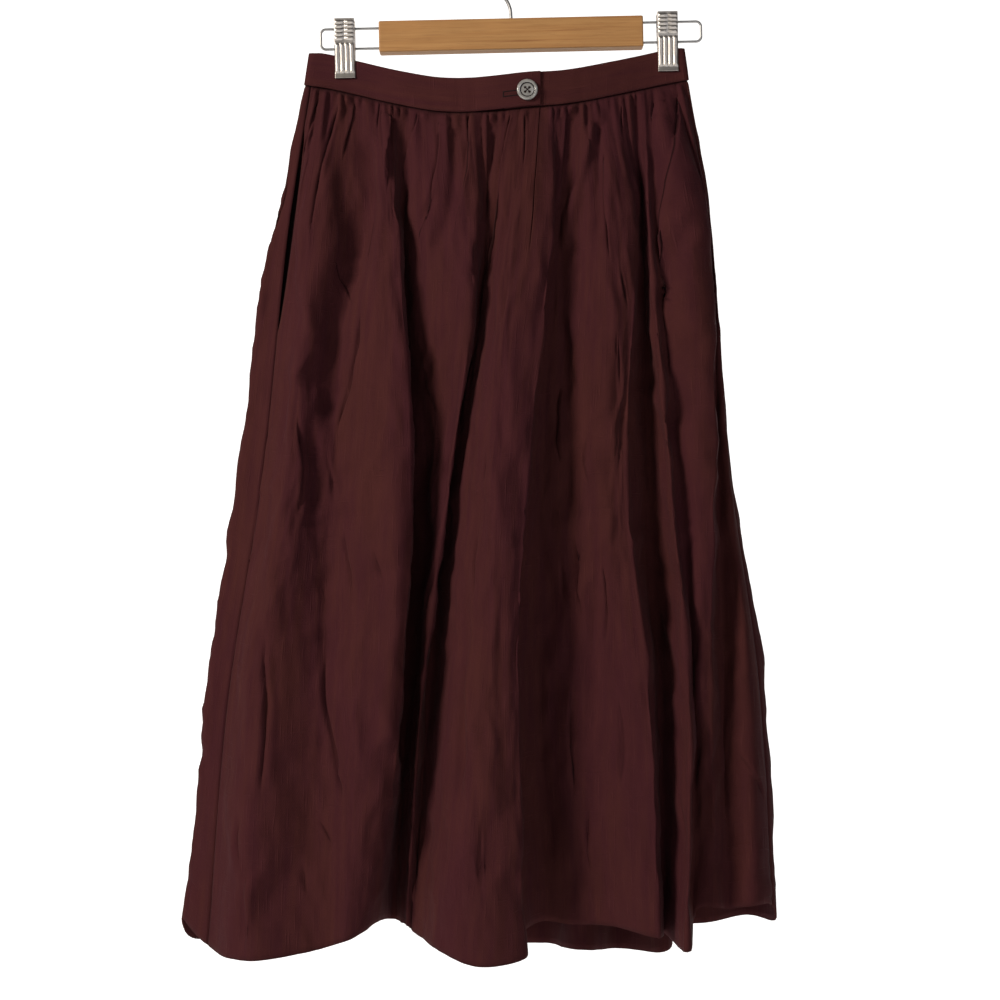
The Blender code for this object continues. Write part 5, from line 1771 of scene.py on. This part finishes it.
def loop_route(direction):
    """A wire loop at one end of the bar: out along the top, round two corners, and back."""
    start = BAR_SIZE[0] / 2 - 0.010
    reach = BAR_SIZE[0] / 2 + LOOP_REACH - ROD_RADIUS
    half = ROD_SPACING / 2
    points = [(start, half)]
    for corner, begin in ((half, 90), (-half, 0)):
        centre = Vector((reach - LOOP_CORNER, corner - math.copysign(LOOP_CORNER, corner)))
        for step in range(11):
            angle = math.radians(begin - step * 9)
            points.append(tuple(centre + LOOP_CORNER * Vector((math.cos(angle), math.sin(angle)))))
    points.append((start, -half))
    return [Vector((direction * x, 0, z)) for x, z in points]


bar = make_bar()
hook = make_wire("hook", "hanger_hook", hook_route(), HOOK_WIRE_RADIUS, Matrix.Identity(4))
for direction, word in ((-1, "left"), (1, "right")):
    make_wire(f"loop_{word}", f"hanger_loop_{word}", loop_route(direction), ROD_RADIUS, TILTED)
print("hanger: bar", len(bar.data.polygons), "faces, hook", len(hook.data.polygons), "faces")

# %% [markdown]
# ## Clips
# Each clip is two jaws of pressed sheet that pinch the band, pushed apart at the top by a spring coiled
# round the lower rod. The pressing is what makes it look like a clip: level ribs in two columns at the top
# for the fingers, four upright flutes below, a plain rim at the foot, and side walls turned back for
# stiffness. A flat grid is pushed out by a small relief function, and its side edges are extruded.

# %% Clip sizes
CLIPS = (("left", -0.148), ("right", 0.139))
CLIP_TOP = -0.0588
CLIP_WIDTH = 0.0172
CLIP_HEIGHT = 0.0525
CLIP_WALL = 0.0007
CLIP_PROFILE = (
    # height below the top of the jaw, distance from the hanger's plane, in millimetres
    (0.0, 6.2),
    (12.0, 6.2),
    (25.8, 5.2),
    (38.8, 3.4),
    (48.5, 3.4),
    (52.5, 4.2),
)
FINGER_RIBS = (0.03, 0.37, 5)
FLUTES = (0.41, 0.92, 4)
RELIEF = 0.0011
FLANGE, FLANGE_FLARE = 0.0026, 0.0003
JAW_COLUMNS, JAW_ROWS = 40, 110


def jaw_relief(across, down):
    """How far the pressed sheet stands out at a share across and a share down the jaw."""
    first, last, count = FINGER_RIBS
    if first < down < last:
        rib = math.sin(math.pi * (down - first) / (last - first) * count) ** 2
        column = min(1.0, 5 * abs(across - 0.5)) * min(1.0, 9 * (0.5 - abs(across - 0.5)))
        return rib**0.7 * column
    first, last, count = FLUTES
    if first < down < last:
        flute = math.sin(math.pi * across * count) ** 2
        ends = min(1.0, 24 * min(down - first, last - down))
        return flute**0.45 * ends
    return 0.0


def make_jaw(word, x, jaw):
    direction = {"front": -1, "back": 1}[jaw]
    drops, reaches = zip(*CLIP_PROFILE)
    bm = bmesh.new()
    bmesh.ops.create_grid(bm, x_segments=JAW_COLUMNS, y_segments=JAW_ROWS, size=0.5)
    for vertex in bm.verts:
        across, down = vertex.co.x + 0.5, 0.5 - vertex.co.y
        reach = np.interp(down * CLIP_HEIGHT / MM, drops, reaches) * MM
        reach += RELIEF * jaw_relief(across, down)
        z = CLIP_TOP - down * CLIP_HEIGHT - BAR_CENTRE_Z
        vertex.co = Vector((x + (across - 0.5) * CLIP_WIDTH, direction * reach, z))
    half = CLIP_WIDTH / 2 - 1e-5
    for end in (-1, 1):
        side = [e for e in bm.edges if e.is_boundary and all(end * (v.co.x - x) > half for v in e.verts)]
        sweep(bm, side, (end * FLANGE_FLARE, -direction * FLANGE, 0))
    bmesh.ops.recalc_face_normals(bm, faces=bm.faces)
    name = f"jaw_{word}_{jaw}"
    mesh = mesh_from(bm, name)
    mesh.transform(TILTED)
    piece = new_piece(name, mesh, clip_metal, f"clip_{word}_{jaw}")
    thicken(piece, CLIP_WALL)
    round_edges(piece, 0.00025, 2, 60)
    return piece


# %% Springs
SPRING_RADIUS = 0.0033
SPRING_WIRE = 0.00065
SPRING_LENGTH = 0.0120
SPRING_TURNS = 8


def make_spring(word, x):
    """A helix: a small circle spun round the rod while it moves along it."""
    bm = bmesh.new()
    steps = SPRING_TURNS * 20
    stand = Matrix.Translation((0, 0, SPRING_RADIUS)) @ Matrix.Rotation(math.pi / 2, 4, "X")
    bmesh.ops.create_circle(bm, cap_ends=False, radius=SPRING_WIRE, segments=8, matrix=stand)
    turn = {"cent": (0, 0, 0), "axis": (1, 0, 0), "angle": 2 * math.pi * SPRING_TURNS, "steps": steps}
    advance = (SPRING_LENGTH - 2 * SPRING_WIRE) / steps
    bmesh.ops.spin(bm, geom=bm.verts[:] + bm.edges[:], dvec=(advance, 0, 0), **turn)
    bmesh.ops.remove_doubles(bm, verts=bm.verts, dist=1e-6)
    bmesh.ops.holes_fill(bm, edges=[e for e in bm.edges if e.is_boundary], sides=12)
    bmesh.ops.recalc_face_normals(bm, faces=bm.faces)
    start = x - SPRING_LENGTH / 2 + SPRING_WIRE
    bmesh.ops.translate(bm, vec=(start, 0, -ROD_SPACING / 2), verts=bm.verts)
    mesh = mesh_from(bm, f"spring_{word}")
    mesh.transform(TILTED)
    return new_piece(f"spring_{word}", mesh, wire_metal, f"clip_{word}_spring")


for word, x in CLIPS:
    jaws = [make_jaw(word, x, jaw) for jaw in ("front", "back")]
    spring = make_spring(word, x)
    print("clip", word, "jaws", len(jaws[0].data.polygons), "faces, spring", len(spring.data.polygons))
